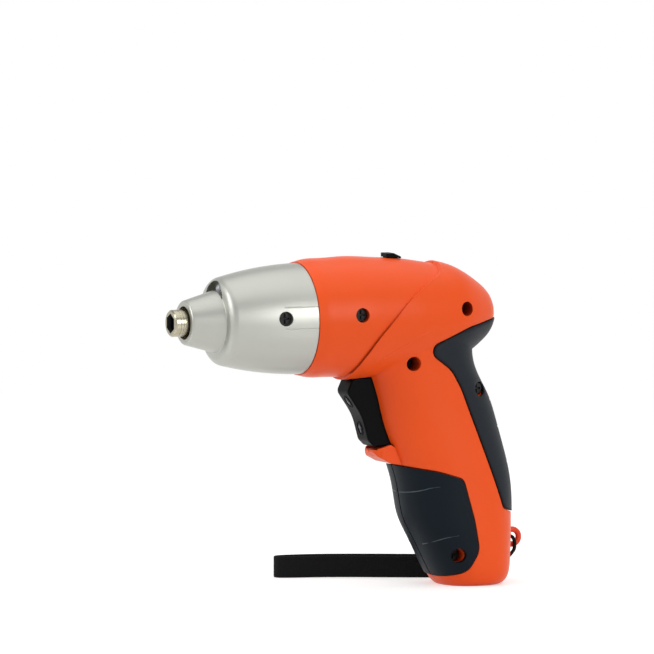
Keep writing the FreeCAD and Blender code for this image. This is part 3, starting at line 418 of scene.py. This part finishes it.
# The socket's bore: near black as painted shade deep in the hole, over the dark of oiled steel
BORE_PAINTED_SHADE = Metal("bore_steel_painted_shade", "#0C0C0D", 0.55, metallic=0.4)
# Pressed and sintered powder: speckled and dull, warm in bronze and dark in ferrite
SINTERED_BRONZE = Metal("bronze_sintered", "#9C7A4A", 0.45)
FERRITE = Metal("ferrite_sintered", "#2A2A2C", 0.6, metallic=0.3)
# Sprayed metallic paint: pale, with a wide soft gleam
SILVER = SilverPaint("silver_metallic_paint_on_abs", "#AEAFA8", 0.42)
# Epoxy cast in a polished mould: clear with a sharp gleam, a little milky inside
CLEAR = ClearResin("clear_epoxy_cast", "#F4F8FA", 0.03)
# Woven and braided polyester: black and dry, with a raised weave
WEBBING = Woven("black_polyester_webbing_woven", "#0C0D0F", 0.75)
BRAID = Woven("black_polyester_cord_braided", "#0B0C0E", 0.7, thread_mm=0.6, thread_depth_mm=0.06)

NODE_FINISHES = {
    ORANGE_ABS: ["left_housing", "right_housing"],
    EYELET_ABS: ["strap_eyelet"],
    GREY_ELASTOMER: ["left_palm_grip", "right_palm_grip"],
    DARK_ELASTOMER: ["left_finger_grip", "right_finger_grip"],
    BLACK_NYLON: ["trigger", "slide_knob", "motor_end_cap", "motor_cradle", "switch_body", "lamp_switch",
                  "charge_socket", "strap_clasp"],
    GEAR_ACETAL: ["gearbox_case", "upper_plunger", "lower_plunger"]
                 + [f"{stage}_planet_{number}" for stage in ("output", "input") for number in (1, 2, 3)],
    WIRE_VINYL: ["motor_wires", "battery_wires"],
    CELL_FILM: [f"battery_cell_{number}" for number in (1, 2, 3)],
    NICKEL_STEEL: ["spindle", "bit_ring", "thrust_washer", "stage_carrier", "trigger_pin"],
    ZINC_STEEL: ["motor_can", "gearbox_plate", "armature"],
    NICKEL_STRIP: ["cell_tabs"],
    BLACK_OXIDE: ["nose_screws", "barrel_screws", "housing_screws"],
    SINTERED_BRONZE: ["spindle_bush", "motor_bushes", "pinion"],
    FERRITE: ["socket_magnet", "motor_magnets"],
    SILVER: ["nose_cover"],
    CLEAR: ["lamp"],
}


@lru_cache(maxsize=None)
def material_of(finish: Finish) -> bpy.types.Material:
    """The material of a finish, made once."""
    return finish.build()


def show(name: str, mesh: bpy.types.Mesh, finish: Finish, body: Body) -> bpy.types.Object:
    """Put a finished mesh into the scene as a piece of the tool.

    Args:
        name: The piece's name.
        mesh: Its mesh, in place.
        finish: Its finish.
        body: The body that it rides on.

    Returns:
        The piece.
    """
    mesh.name = name
    mesh.materials.clear()
    mesh.materials.append(material_of(finish))
    mesh.shade_smooth()
    mesh.set_sharp_from_angle(angle=SHARP_ANGLE)
    piece = bpy.data.objects.new(name, mesh)
    bpy.context.scene.collection.objects.link(piece)
    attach(piece, body.value)
    LOG.info("%s: %d faces on %s", name, len(mesh.polygons), body.value)
    return piece


def meshed(form: bmesh.types.BMesh, place: Matrix = AT_ORIGIN) -> bpy.types.Mesh:
    """Close a bmesh into a mesh, its faces pointing outwards, and carry it to its place.

    Args:
        form: The bmesh, which is freed.
        place: Where the form is carried.

    Returns:
        The mesh.
    """
    bmesh.ops.remove_doubles(form, verts=form.verts, dist=MERGE_DISTANCE)
    bmesh.ops.recalc_face_normals(form, faces=form.faces)
    mesh = bpy.data.meshes.new("form")
    form.to_mesh(mesh)
    form.free()
    mesh.transform(place)
    return mesh


def raised(form: bmesh.types.BMesh, height: float) -> bmesh.types.BMesh:
    """Extrude the faces of a flat form upwards.

    Args:
        form: The form, flat on the XY plane.
        height: How far its top is above that plane.

    Returns:
        The same form, now a solid.
    """
    walls = bmesh.ops.extrude_face_region(form, geom=form.faces[:])
    top = [item for item in walls["geom"] if isinstance(item, bmesh.types.BMVert)]
    bmesh.ops.translate(form, verts=top, vec=(0.0, 0.0, height))
    return form


def surface_of(node: str) -> BVHTree:
    """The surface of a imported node, for finding points on it."""
    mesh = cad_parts[node].data
    return BVHTree.FromPolygons([v.co for v in mesh.vertices], [tuple(p.vertices) for p in mesh.polygons])


def line_curve(name: str, points: list[Vector], radii: list[float]) -> bpy.types.Curve:
    """A smooth curve led by its control points, with round sides and closed ends once it has a thickness.

    Args:
        name: The curve's name.
        points: Its control points.
        radii: Its thickness at each point, as a share.

    Returns:
        The curve, one open spline with no thickness yet.
    """
    curve = bpy.data.curves.new(name, "CURVE")
    curve.dimensions = "3D"
    curve.resolution_u = CURVE_STEPS
    curve.bevel_resolution = ROUND_STEPS
    curve.use_fill_caps = True
    spline = curve.splines.new("NURBS")
    spline.points.add(len(points) - 1)
    for target, point, radius in zip(spline.points, points, radii):
        target.co = (*point, 1.0)
        target.radius = radius
    spline.order_u = CURVE_ORDER
    spline.use_endpoint_u = True
    return curve


def curve_mesh(curve: bpy.types.Curve) -> bpy.types.Mesh:
    """Make a mesh of a curve as it is set now.

    Args:
        curve: The curve, which stays.

    Returns:
        Its mesh: only a line while the curve has no thickness.
    """
    holder = bpy.data.objects.new("curve_holder", curve)
    mesh = bpy.data.meshes.new_from_object(holder)
    bpy.data.objects.remove(holder)
    return mesh


@dataclass
class Strap:
    """The wrist strap: webbing on its edge, and the thin cord that ties it to the eyelet."""

    # The routes that the solids follow, in millimetres
    webbing_route: tuple[tuple[float, float], ...] = (
        (17.6, 16.4), (9.5, 21.0), (-3.0, 26.0), (-17.0, 33.0), (-31.0, 41.0), (-44.0, 46.6), (-54.5, 49.0),
        (-62.0, 51.6), (-61.0, 56.4), (-53.0, 56.6), (-41.0, 54.4), (-27.0, 48.6), (-12.0, 41.0), (3.0, 32.6),
        (15.5, 24.6), (22.4, 17.2))
    cord_route: tuple[tuple[float, float, float], ...] = (
        (19.8, 14.4, 8.2), (20.5, 10.8, 12.6), (21.6, 5.8, 17.2), (22.0, 0.8, 18.9), (22.0, -2.4, 17.2),
        (22.2, -2.2, 13.9), (22.6, 0.8, 11.9), (22.6, 5.2, 9.4), (22.2, 9.6, 7.6), (21.4, 13.4, 6.4))
    width_mm: float = 9.0
    thickness_mm: float = 1.2
    cord_radius_mm: float = 0.75
    webbing_length: float = 0.185
    cord_length: float = 0.0415

    def build(self) -> None:
        """Make the webbing and the cord in place of the imported ones, which are hidden."""
        points = [Vector((x, y, self.width_mm / 2)) * MM for x, y in self.webbing_route]
        curve = line_curve("webbing_line", points, [1.0] * len(points))
        line = [vertex.co.copy() for vertex in curve_mesh(curve).vertices]
        curve.twist_mode = "Z_UP"
        curve.bevel_depth = self.thickness_mm / 2 * MM
        curve.extrude = (self.width_mm - self.thickness_mm) / 2 * MM
        webbing = self.laid_out("webbing", curve, line, WEBBING)
        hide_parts("strap_webbing")
        points = [Vector(point) * MM for point in self.cord_route]
        curve = line_curve("cord_line", points, [1.0] * len(points))
        line = [vertex.co.copy() for vertex in curve_mesh(curve).vertices]
        curve.bevel_depth = self.cord_radius_mm * MM
        cord = self.laid_out("cord", curve, line, BRAID)
        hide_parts("strap_cord")

    def laid_out(self, name: str, curve: bpy.types.Curve, line: list[Vector],
                 finish: Finish) -> bpy.types.Object:
        """Make a piece of a swept curve, with a UV map in metres: along its line, and up its side.

        Args:
            name: The piece's name.
            curve: The curve with its thickness set.
            line: The points down its middle.
            finish: Its finish.

        Returns:
            The piece.
        """
        mesh = curve_mesh(curve)
        along = [0.0]
        for before, after in zip(line, line[1:]):
            along.append(along[-1] + (after - before).length)
        tree = KDTree(len(line))
        for index, point in enumerate(line):
            tree.insert(point, index)
        tree.balance()
        for layer in list(mesh.uv_layers):
            mesh.uv_layers.remove(layer)
        layer = mesh.uv_layers.new(name=UV_NAME)
        for loop in mesh.loops:
            place = mesh.vertices[loop.vertex_index].co
            layer.data[loop.index].uv = (along[tree.find(place)[1]], place.z)
        return show(name, mesh, finish, Body.HOUSING)


@dataclass
class TriggerSigns:
    """The two moulded signs on the rocker's front: an arrow in an oval rim for each way of turning."""

    heights_mm: tuple[float, float] = (77.5, 66.4)
    half_length_mm: float = 3.1
    half_width_mm: float = 2.3
    rim_mm: float = 0.45
    rim_segments: int = 40
    rise_mm: float = 0.22
    sink_mm: float = 0.15
    # How far in front of the trigger the search for its surface starts
    approach_mm: float = 10.0
    # The arrow's head, stem, tip and rise, of the rim's width, the head, the rim's length and the rim's rise
    head_share: float = 0.55
    stem_share: float = 0.4
    tip_share: float = 0.6
    arrow_rise_share: float = 0.5

    def build(self) -> None:
        """Make both signs on the trigger's front, the arrow of the upper one pointing up."""
        surface = surface_of("trigger")
        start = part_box("trigger")[0].x - self.approach_mm * MM
        backwards = Vector((1.0, 0.0, 0.0))
        for number, (height, way) in enumerate(zip(self.heights_mm, (1, -1)), 1):
            place, normal, _, _ = surface.ray_cast(Vector((start, 0.0, height * MM)), backwards)
            seat = self.seat(place, normal)
            rim = meshed(self.rim(), seat)
            show(f"trigger_sign_rim_{number}", rim, BLACK_NYLON, Body.TRIGGER)
            arrow = meshed(self.arrow(way), seat)
            show(f"trigger_sign_arrow_{number}", arrow, SIGN_GREY, Body.TRIGGER)

    def seat(self, place: Vector, normal: Vector) -> Matrix:
        """Where a sign stands: its height along the surface's normal, its width along Y.

        Args:
            place: A point on the trigger's front.
            normal: The surface's direction there.

        Returns:
            The matrix that carries a sign drawn on the XY plane to its place.
        """
        across = Vector((0.0, 1.0, 0.0))
        up = normal.cross(across)
        turn = Matrix((across, up, normal)).transposed().to_4x4()
        return Matrix.Translation(place - normal * self.sink_mm * MM) @ turn

    def rim(self) -> bmesh.types.BMesh:
        """Make a raised oval ring.

        Returns:
            The ring's bmesh.
        """
        form = bmesh.new()
        bmesh.ops.create_circle(form, cap_ends=True, segments=self.rim_segments, radius=1.0)
        bmesh.ops.scale(form, verts=form.verts, vec=(self.half_width_mm * MM, self.half_length_mm * MM, 1.0))
        bmesh.ops.inset_individual(form, faces=form.faces[:], thickness=self.rim_mm * MM)
        disc = max(form.faces, key=lambda face: len(face.verts))
        bmesh.ops.delete(form, geom=[disc], context="FACES_ONLY")
        return raised(form, (self.rise_mm + self.sink_mm) * MM)

    def arrow(self, way: int) -> bmesh.types.BMesh:
        """Make a plain raised arrow along Y.

        Args:
            way: 1 for an arrow that points up, -1 for down.

        Returns:
            The arrow's bmesh.
        """
        form = bmesh.new()
        head = self.half_width_mm * self.head_share
        stem = head * self.stem_share
        tip = self.half_length_mm * self.tip_share
        outline = [(0.0, tip), (-head, 0.0), (-stem, 0.0), (-stem, -tip),
                   (stem, -tip), (stem, 0.0), (head, 0.0)]
        form.faces.new([form.verts.new((x * MM, way * y * MM, 0.0)) for x, y in outline])
        return raised(form, (self.rise_mm * self.arrow_rise_share + self.sink_mm) * MM)


@dataclass
class RaisedLine:
    """A fine moulded line that follows the surface of a node, seen from one side."""

    # Where the line runs in side view, along and up in millimetres, and its share of the full thickness
    places: tuple[tuple[float, float, float], ...]
    radius_mm: float
    sink_mm: float
    finish: Finish
    slot: str
    # How far out from the middle the search for the surface starts
    approach_mm: float = 100.0

    def build(self, name: str, node: str, side: float) -> None:
        """Lay the line on a node.

        Args:
            name: The line's name.
            node: The node that it lies on.
            side: -1 for the tool's left, 1 for its right.
        """
        surface = surface_of(node)
        points, shares = [], []
        for x, z, share in self.places:
            start = Vector((x, side * self.approach_mm, z)) * MM
            hit = surface.ray_cast(start, Vector((0.0, -side, 0.0)))[0]
            if hit:
                points.append(hit - Vector((0.0, side * self.sink_mm * MM, 0.0)))
                shares.append(share)
        curve = line_curve(name, points, shares)
        curve.bevel_depth = self.radius_mm * MM
        show(name, curve_mesh(curve), self.finish, Body.HOUSING)


@dataclass
class MouldedLines:
    """The fine lines of both sides: two across each finger panel, lighter than it as a painted highlight, and
    the crease across each yoke.
    """

    grip_lines: tuple[tuple[tuple[float, float, float], ...], ...] = (
        ((-30.4, 39.3, 0.8), (-30.0, 39.5, 1.0), (-28.2, 40.0, 1.0), (-25.6, 40.8, 0.9), (-22.9, 41.9, 0.7),
         (-19.5, 42.3, 0.25)),
        ((-22.5, 17.6, 0.8), (-22.0, 17.8, 1.0), (-20.6, 18.8, 1.0), (-17.9, 20.3, 0.9), (-14.7, 21.3, 0.7),
         (-11.3, 21.8, 0.25)))
    grip_line_radius_mm: float = 0.3
    grip_line_sink_mm: float = 0.0
    crease: tuple[tuple[float, float, float], ...] = (
        (-54.8, 90.5, 0.2), (-50.4, 93.7, 0.7), (-46.3, 97.1, 1.0), (-41.4, 100.5, 1.0), (-36.6, 102.7, 1.0),
        (-32.3, 105.1, 1.0), (-27.6, 107.5, 0.9), (-20.1, 110.8, 0.7), (-14.2, 113.3, 0.2))
    crease_radius_mm: float = 0.6
    crease_sink_mm: float = 0.38

    def build(self) -> None:
        """Lay every line on both sides."""
        crease = RaisedLine(self.crease, self.crease_radius_mm, self.crease_sink_mm, ORANGE_ABS, "orange_abs")
        for name, side in (("left", -1.0), ("right", 1.0)):
            for number, places in enumerate(self.grip_lines, 1):
                # The grip lines are a lighter slate than the panel, as a painted highlight
                line = RaisedLine(places, self.grip_line_radius_mm, self.grip_line_sink_mm, RIB_PAINTED_HIGHLIGHT,
                                  "black_rubber")
                line.build(f"{name}_grip_line_{number}", f"{name}_finger_grip", side)
            crease.build(f"{name}_yoke_crease", f"{name}_housing", side)


@dataclass
class SocketBore:
    """The inside of the hex socket, near black as painted shade deep in the bore over dark oiled steel,
    unlike the plated outside.
    """

    reach_mm: float = 4.25

    def build(self) -> None:
        """Give the socket's own faces the near-black finish of its painted shade."""
        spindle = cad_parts["spindle"]
        low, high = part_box("spindle")
        axis_height = (low.z + high.z) / 2
        mesh = spindle.data
        mesh.materials.append(material_of(BORE_PAINTED_SHADE))
        for polygon in mesh.polygons:
            places = [mesh.vertices[index].co for index in polygon.vertices]
            # Faces inside the socket's radius take the painted shade
            if all(math.hypot(place.y, place.z - axis_height) < self.reach_mm * MM for place in places):
                polygon.material_index = len(mesh.materials) - 1
        LOG.info("spindle: %s in its socket", BORE_PAINTED_SHADE.name)


@dataclass
class LampCore:
    """What shows inside the clear lamp: the bright cup with its phosphor, and the two lead posts."""

    cup_radius_mm: float = 1.1
    cup_height_mm: float = 1.0
    cup_floor_share: float = 0.6
    cup_segments: int = 28
    dome_radius_share: float = 0.75
    dome_height_share: float = 0.35
    dome_segments: int = 20
    post_radius_mm: float = 0.28
    post_gap_mm: float = 1.3
    post_segments: int = 14
    # How far the posts end before the lamp's back, and the cup's middle lies behind its front
    post_end_mm: float = 0.5
    setback_mm: float = 3.2

    def build(self) -> None:
        """Make the cup, the phosphor and the posts on the lamp's axis."""
        low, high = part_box("lamp")
        middle = Vector((low.x + self.setback_mm * MM, 0.0, (low.z + high.z) / 2))
        turn = Matrix.Rotation(-math.pi / 2, 4, "Y")
        cup_front = Vector((self.cup_height_mm * MM / 2, 0.0, 0.0))
        cup = meshed(self.cup(), Matrix.Translation(middle) @ turn)
        show("lamp_cup", cup, NICKEL_STEEL, Body.HOUSING)
        dome = meshed(self.dome(), Matrix.Translation(middle - cup_front) @ turn)
        show("lamp_phosphor", dome, PHOSPHOR, Body.HOUSING)
        length = high.x - middle.x - self.post_end_mm * MM
        posts = meshed(self.posts(length), Matrix.Translation(middle) @ turn)
        show("lamp_posts", posts, NICKEL_STEEL, Body.HOUSING)

    def cup(self) -> bmesh.types.BMesh:
        """Make the cup, which opens along Z.

        Returns:
            The cup's bmesh.
        """
        form = bmesh.new()
        radius = self.cup_radius_mm * MM
        bmesh.ops.create_cone(form, cap_ends=True, segments=self.cup_segments, radius2=radius,
                              radius1=radius * self.cup_floor_share, depth=self.cup_height_mm * MM)
        return form

    def dome(self) -> bmesh.types.BMesh:
        """Make the flat dome of phosphor that lies in the cup's mouth.

        Returns:
            The dome's bmesh.
        """
        form = bmesh.new()
        bmesh.ops.create_uvsphere(form, u_segments=self.dome_segments, v_segments=self.dome_segments // 2,
                                  radius=self.cup_radius_mm * MM * self.dome_radius_share)
        bmesh.ops.scale(form, verts=form.verts, vec=(1.0, 1.0, self.dome_height_share))
        return form

    def posts(self, length: float) -> bmesh.types.BMesh:
        """Make the two posts, side by side below the cup's middle.

        Args:
            length: How long they are.

        Returns:
            The bmesh of both.
        """
        form = bmesh.new()
        radius = self.post_radius_mm * MM
        for side in (-1.0, 1.0):
            spot = Vector((0.0, side * self.post_gap_mm * MM / 2, -length / 2))
            bmesh.ops.create_cone(form, cap_ends=True, segments=self.post_segments, radius1=radius,
                                  radius2=radius, depth=length, matrix=Matrix.Translation(spot))
        return form


@dataclass(frozen=True)
class SoftLamp:
    """A square soft lamp of the studio: its place and its side in metres, and its power in watts."""

    name: str
    place: tuple[float, float, float]
    side: float
    power: float

    def hang(self, aim: Vector) -> None:
        """Hang the lamp so that it points at the aim.

        Args:
            aim: The point that it shines on.
        """
        data = bpy.data.lights.new(self.name, "AREA")
        data.size = self.side
        data.energy = self.power
        lamp = bpy.data.objects.new(self.name, data)
        lamp.location = self.place
        lamp.rotation_euler = (aim - Vector(self.place)).to_track_quat("-Z", "Y").to_euler()
        bpy.context.scene.collection.objects.link(lamp)


@dataclass
class Studio:
    """Camera, floor, lamps and world of a plain product picture."""

    azimuth: float = -25.0
    elevation: float = 5.0
    distance: float = 8.0
    clip_end: float = 40.0
    frame_width: float = 0.2703
    aim: tuple[float, float, float] = (-0.06285, 0.0, 0.10895)
    sensor_mm: float = 36.0
    lamps: tuple[SoftLamp, ...] = (
        SoftLamp("key_light", (0.42, -1.4, 0.53), 0.6, 7.0),
        SoftLamp("top_light", (0.1, 0.0, 1.3), 1.8, 9.0),
        SoftLamp("side_light", (-1.23, 0.2, 0.73), 0.7, 7.0))
    floor_radius: float = 1.6
    floor_segments: int = 64
    floor_colour: str = "#E9E9E8"
    floor_roughness: float = 0.12
    floor_shine: float = 0.1
    floor_lift: float = 0.42
    # How far from the middle the floor starts to fade, and where it is white
    floor_fade: tuple[float, float] = (0.3, 0.9)
    world_light: float = 0.45
    # Brightness of the surround at each sine of its height, as metal and glass show it
    bands: tuple[tuple[float, float], ...] = ((0.0, 1.0), (0.3, 1.0), (0.62, 0.5), (0.85, 0.75), (1.0, 0.85))

    def build(self) -> None:
        """Set up the picture."""
        scene = bpy.context.scene
        scene.view_settings.view_transform = "Standard"
        self.camera(scene)
        self.floor(scene)
        self.world(scene)
        for lamp in self.lamps:
            lamp.hang(Vector(self.aim))

    def camera(self, scene: bpy.types.Scene) -> None:
        """Place the camera at the photograph's angle.

        Args:
            scene: The scene that it takes the picture of.
        """
        turn, lift = math.radians(self.azimuth), math.radians(self.elevation)
        back = Vector((math.sin(turn) * math.cos(lift), -math.cos(turn) * math.cos(lift), math.sin(lift)))
        data = bpy.data.cameras.new("camera")
        data.sensor_width = self.sensor_mm
        data.lens = self.sensor_mm * self.distance / self.frame_width
        data.clip_end = self.clip_end
        camera = bpy.data.objects.new("camera", data)
        camera.location = Vector(self.aim) + back * self.distance
        camera.rotation_euler = (-back).to_track_quat("-Z", "Y").to_euler()
        scene.collection.objects.link(camera)
        scene.camera = camera

    def seen(self, tree: bpy.types.NodeTree) -> bpy.types.NodeSocket:
        """Tell what is seen from what only gives light.

        Args:
            tree: The node tree that gets the test.

        Returns:
            A socket that is 1 for what is seen straight, in a reflection or through glass.
        """
        path = add_node(tree, "ShaderNodeLightPath", {})
        either = add_node(tree, "ShaderNodeMath", {
            0: path.outputs["Is Camera Ray"], 1: path.outputs["Is Glossy Ray"]}, operation="MAXIMUM")
        every = add_node(tree, "ShaderNodeMath", {
            0: either.outputs["Value"], 1: path.outputs["Is Transmission Ray"]}, operation="MAXIMUM")
        return every.outputs["Value"]

    def world(self, scene: bpy.types.Scene) -> None:
        """Make a white surround that lights the tool only softly.

        Args:
            scene: The scene that it surrounds.
        """
        world = bpy.data.worlds.new("white_surround")
        world.use_nodes = True
        tree = world.node_tree
        tree.nodes.clear()
        place = add_node(tree, "ShaderNodeTexCoord", {}).outputs["Generated"]
        height = add_node(tree, "ShaderNodeSeparateXYZ", {"Vector": place}).outputs["Z"]
        bands = add_node(tree, "ShaderNodeValToRGB", {"Fac": height})
        stops = bands.color_ramp.elements
        for position, _ in self.bands[1:-1]:
            stops.new(position)
        for stop, (position, level) in zip(stops, self.bands):
            stop.position = position
            stop.color = (level, level, level, 1.0)
        strength = add_node(tree, "ShaderNodeMapRange", {
            "Value": self.seen(tree), "To Min": self.world_light, "To Max": bands.outputs["Color"]})
        surround = add_node(tree, "ShaderNodeBackground", {
            "Color": (1.0, 1.0, 1.0, 1.0), "Strength": strength.outputs["Result"]})
        add_node(tree, "ShaderNodeOutputWorld", {"Surface": surround.outputs["Background"]})
        scene.world = world

    def floor(self, scene: bpy.types.Scene) -> None:
        """Lay the round floor that the tool stands on.

        Args:
            scene: The scene that gets it.
        """
        form = bmesh.new()
        bmesh.ops.create_circle(form, cap_ends=True, segments=self.floor_segments, radius=self.floor_radius)
        mesh = meshed(form)
        mesh.materials.append(self.floor_finish())
        floor = bpy.data.objects.new("floor", mesh)
        scene.collection.objects.link(floor)

    def floor_finish(self) -> bpy.types.Material:
        """Make a pale glossy finish that keeps the tool's shadow and fades into the white surround.

        Returns:
            The material.
        """
        material = bpy.data.materials.new("pale_floor")
        material.use_nodes = True
        tree = material.node_tree
        tree.nodes.clear()
        place = add_node(tree, "ShaderNodeTexCoord", {}).outputs["Object"]
        matt = add_node(tree, "ShaderNodeBsdfDiffuse", {"Color": linear(self.floor_colour)})
        shine = add_node(tree, "ShaderNodeBsdfGlossy", {"Roughness": self.floor_roughness})
        polished = add_node(tree, "ShaderNodeMixShader", {
            0: self.floor_shine, 1: matt.outputs["BSDF"], 2: shine.outputs["BSDF"]})
        lift = add_node(tree, "ShaderNodeMath", {
            0: self.seen(tree), 1: self.floor_lift}, operation="MULTIPLY")
        glow = add_node(tree, "ShaderNodeEmission", {"Strength": lift.outputs["Value"]})
        near = add_node(tree, "ShaderNodeAddShader", {0: polished.outputs[0], 1: glow.outputs["Emission"]})
        distance = add_node(tree, "ShaderNodeVectorMath", {0: place}, operation="LENGTH")
        fade = add_node(tree, "ShaderNodeMapRange", {
            "Value": distance.outputs["Value"], "From Min": self.floor_fade[0],
            "From Max": self.floor_fade[1]}, interpolation_type="SMOOTHSTEP")
        white = add_node(tree, "ShaderNodeEmission", {"Strength": self.seen(tree)})
        both = add_node(tree, "ShaderNodeMixShader", {
            0: fade.outputs["Result"], 1: near.outputs[0], 2: white.outputs["Emission"]})
        add_node(tree, "ShaderNodeOutputMaterial", {"Surface": both.outputs[0]})
        return material


def dress_nodes() -> None:
    """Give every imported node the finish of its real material."""
    for finish, nodes in NODE_FINISHES.items():
        for node in nodes:
            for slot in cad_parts[node].material_slots:
                slot.material = material_of(finish)
            LOG.info("%s: %s", node, finish.name)


def main() -> None:
    """Dress the tool and set up its picture."""
    logging.basicConfig(level=logging.INFO, format="%(name)s: %(message)s")
    Studio().build()
    Strap().build()
    dress_nodes()
    TriggerSigns().build()
    MouldedLines().build()
    SocketBore().build()
    LampCore().build()


if __name__ == "__main__":
    main()
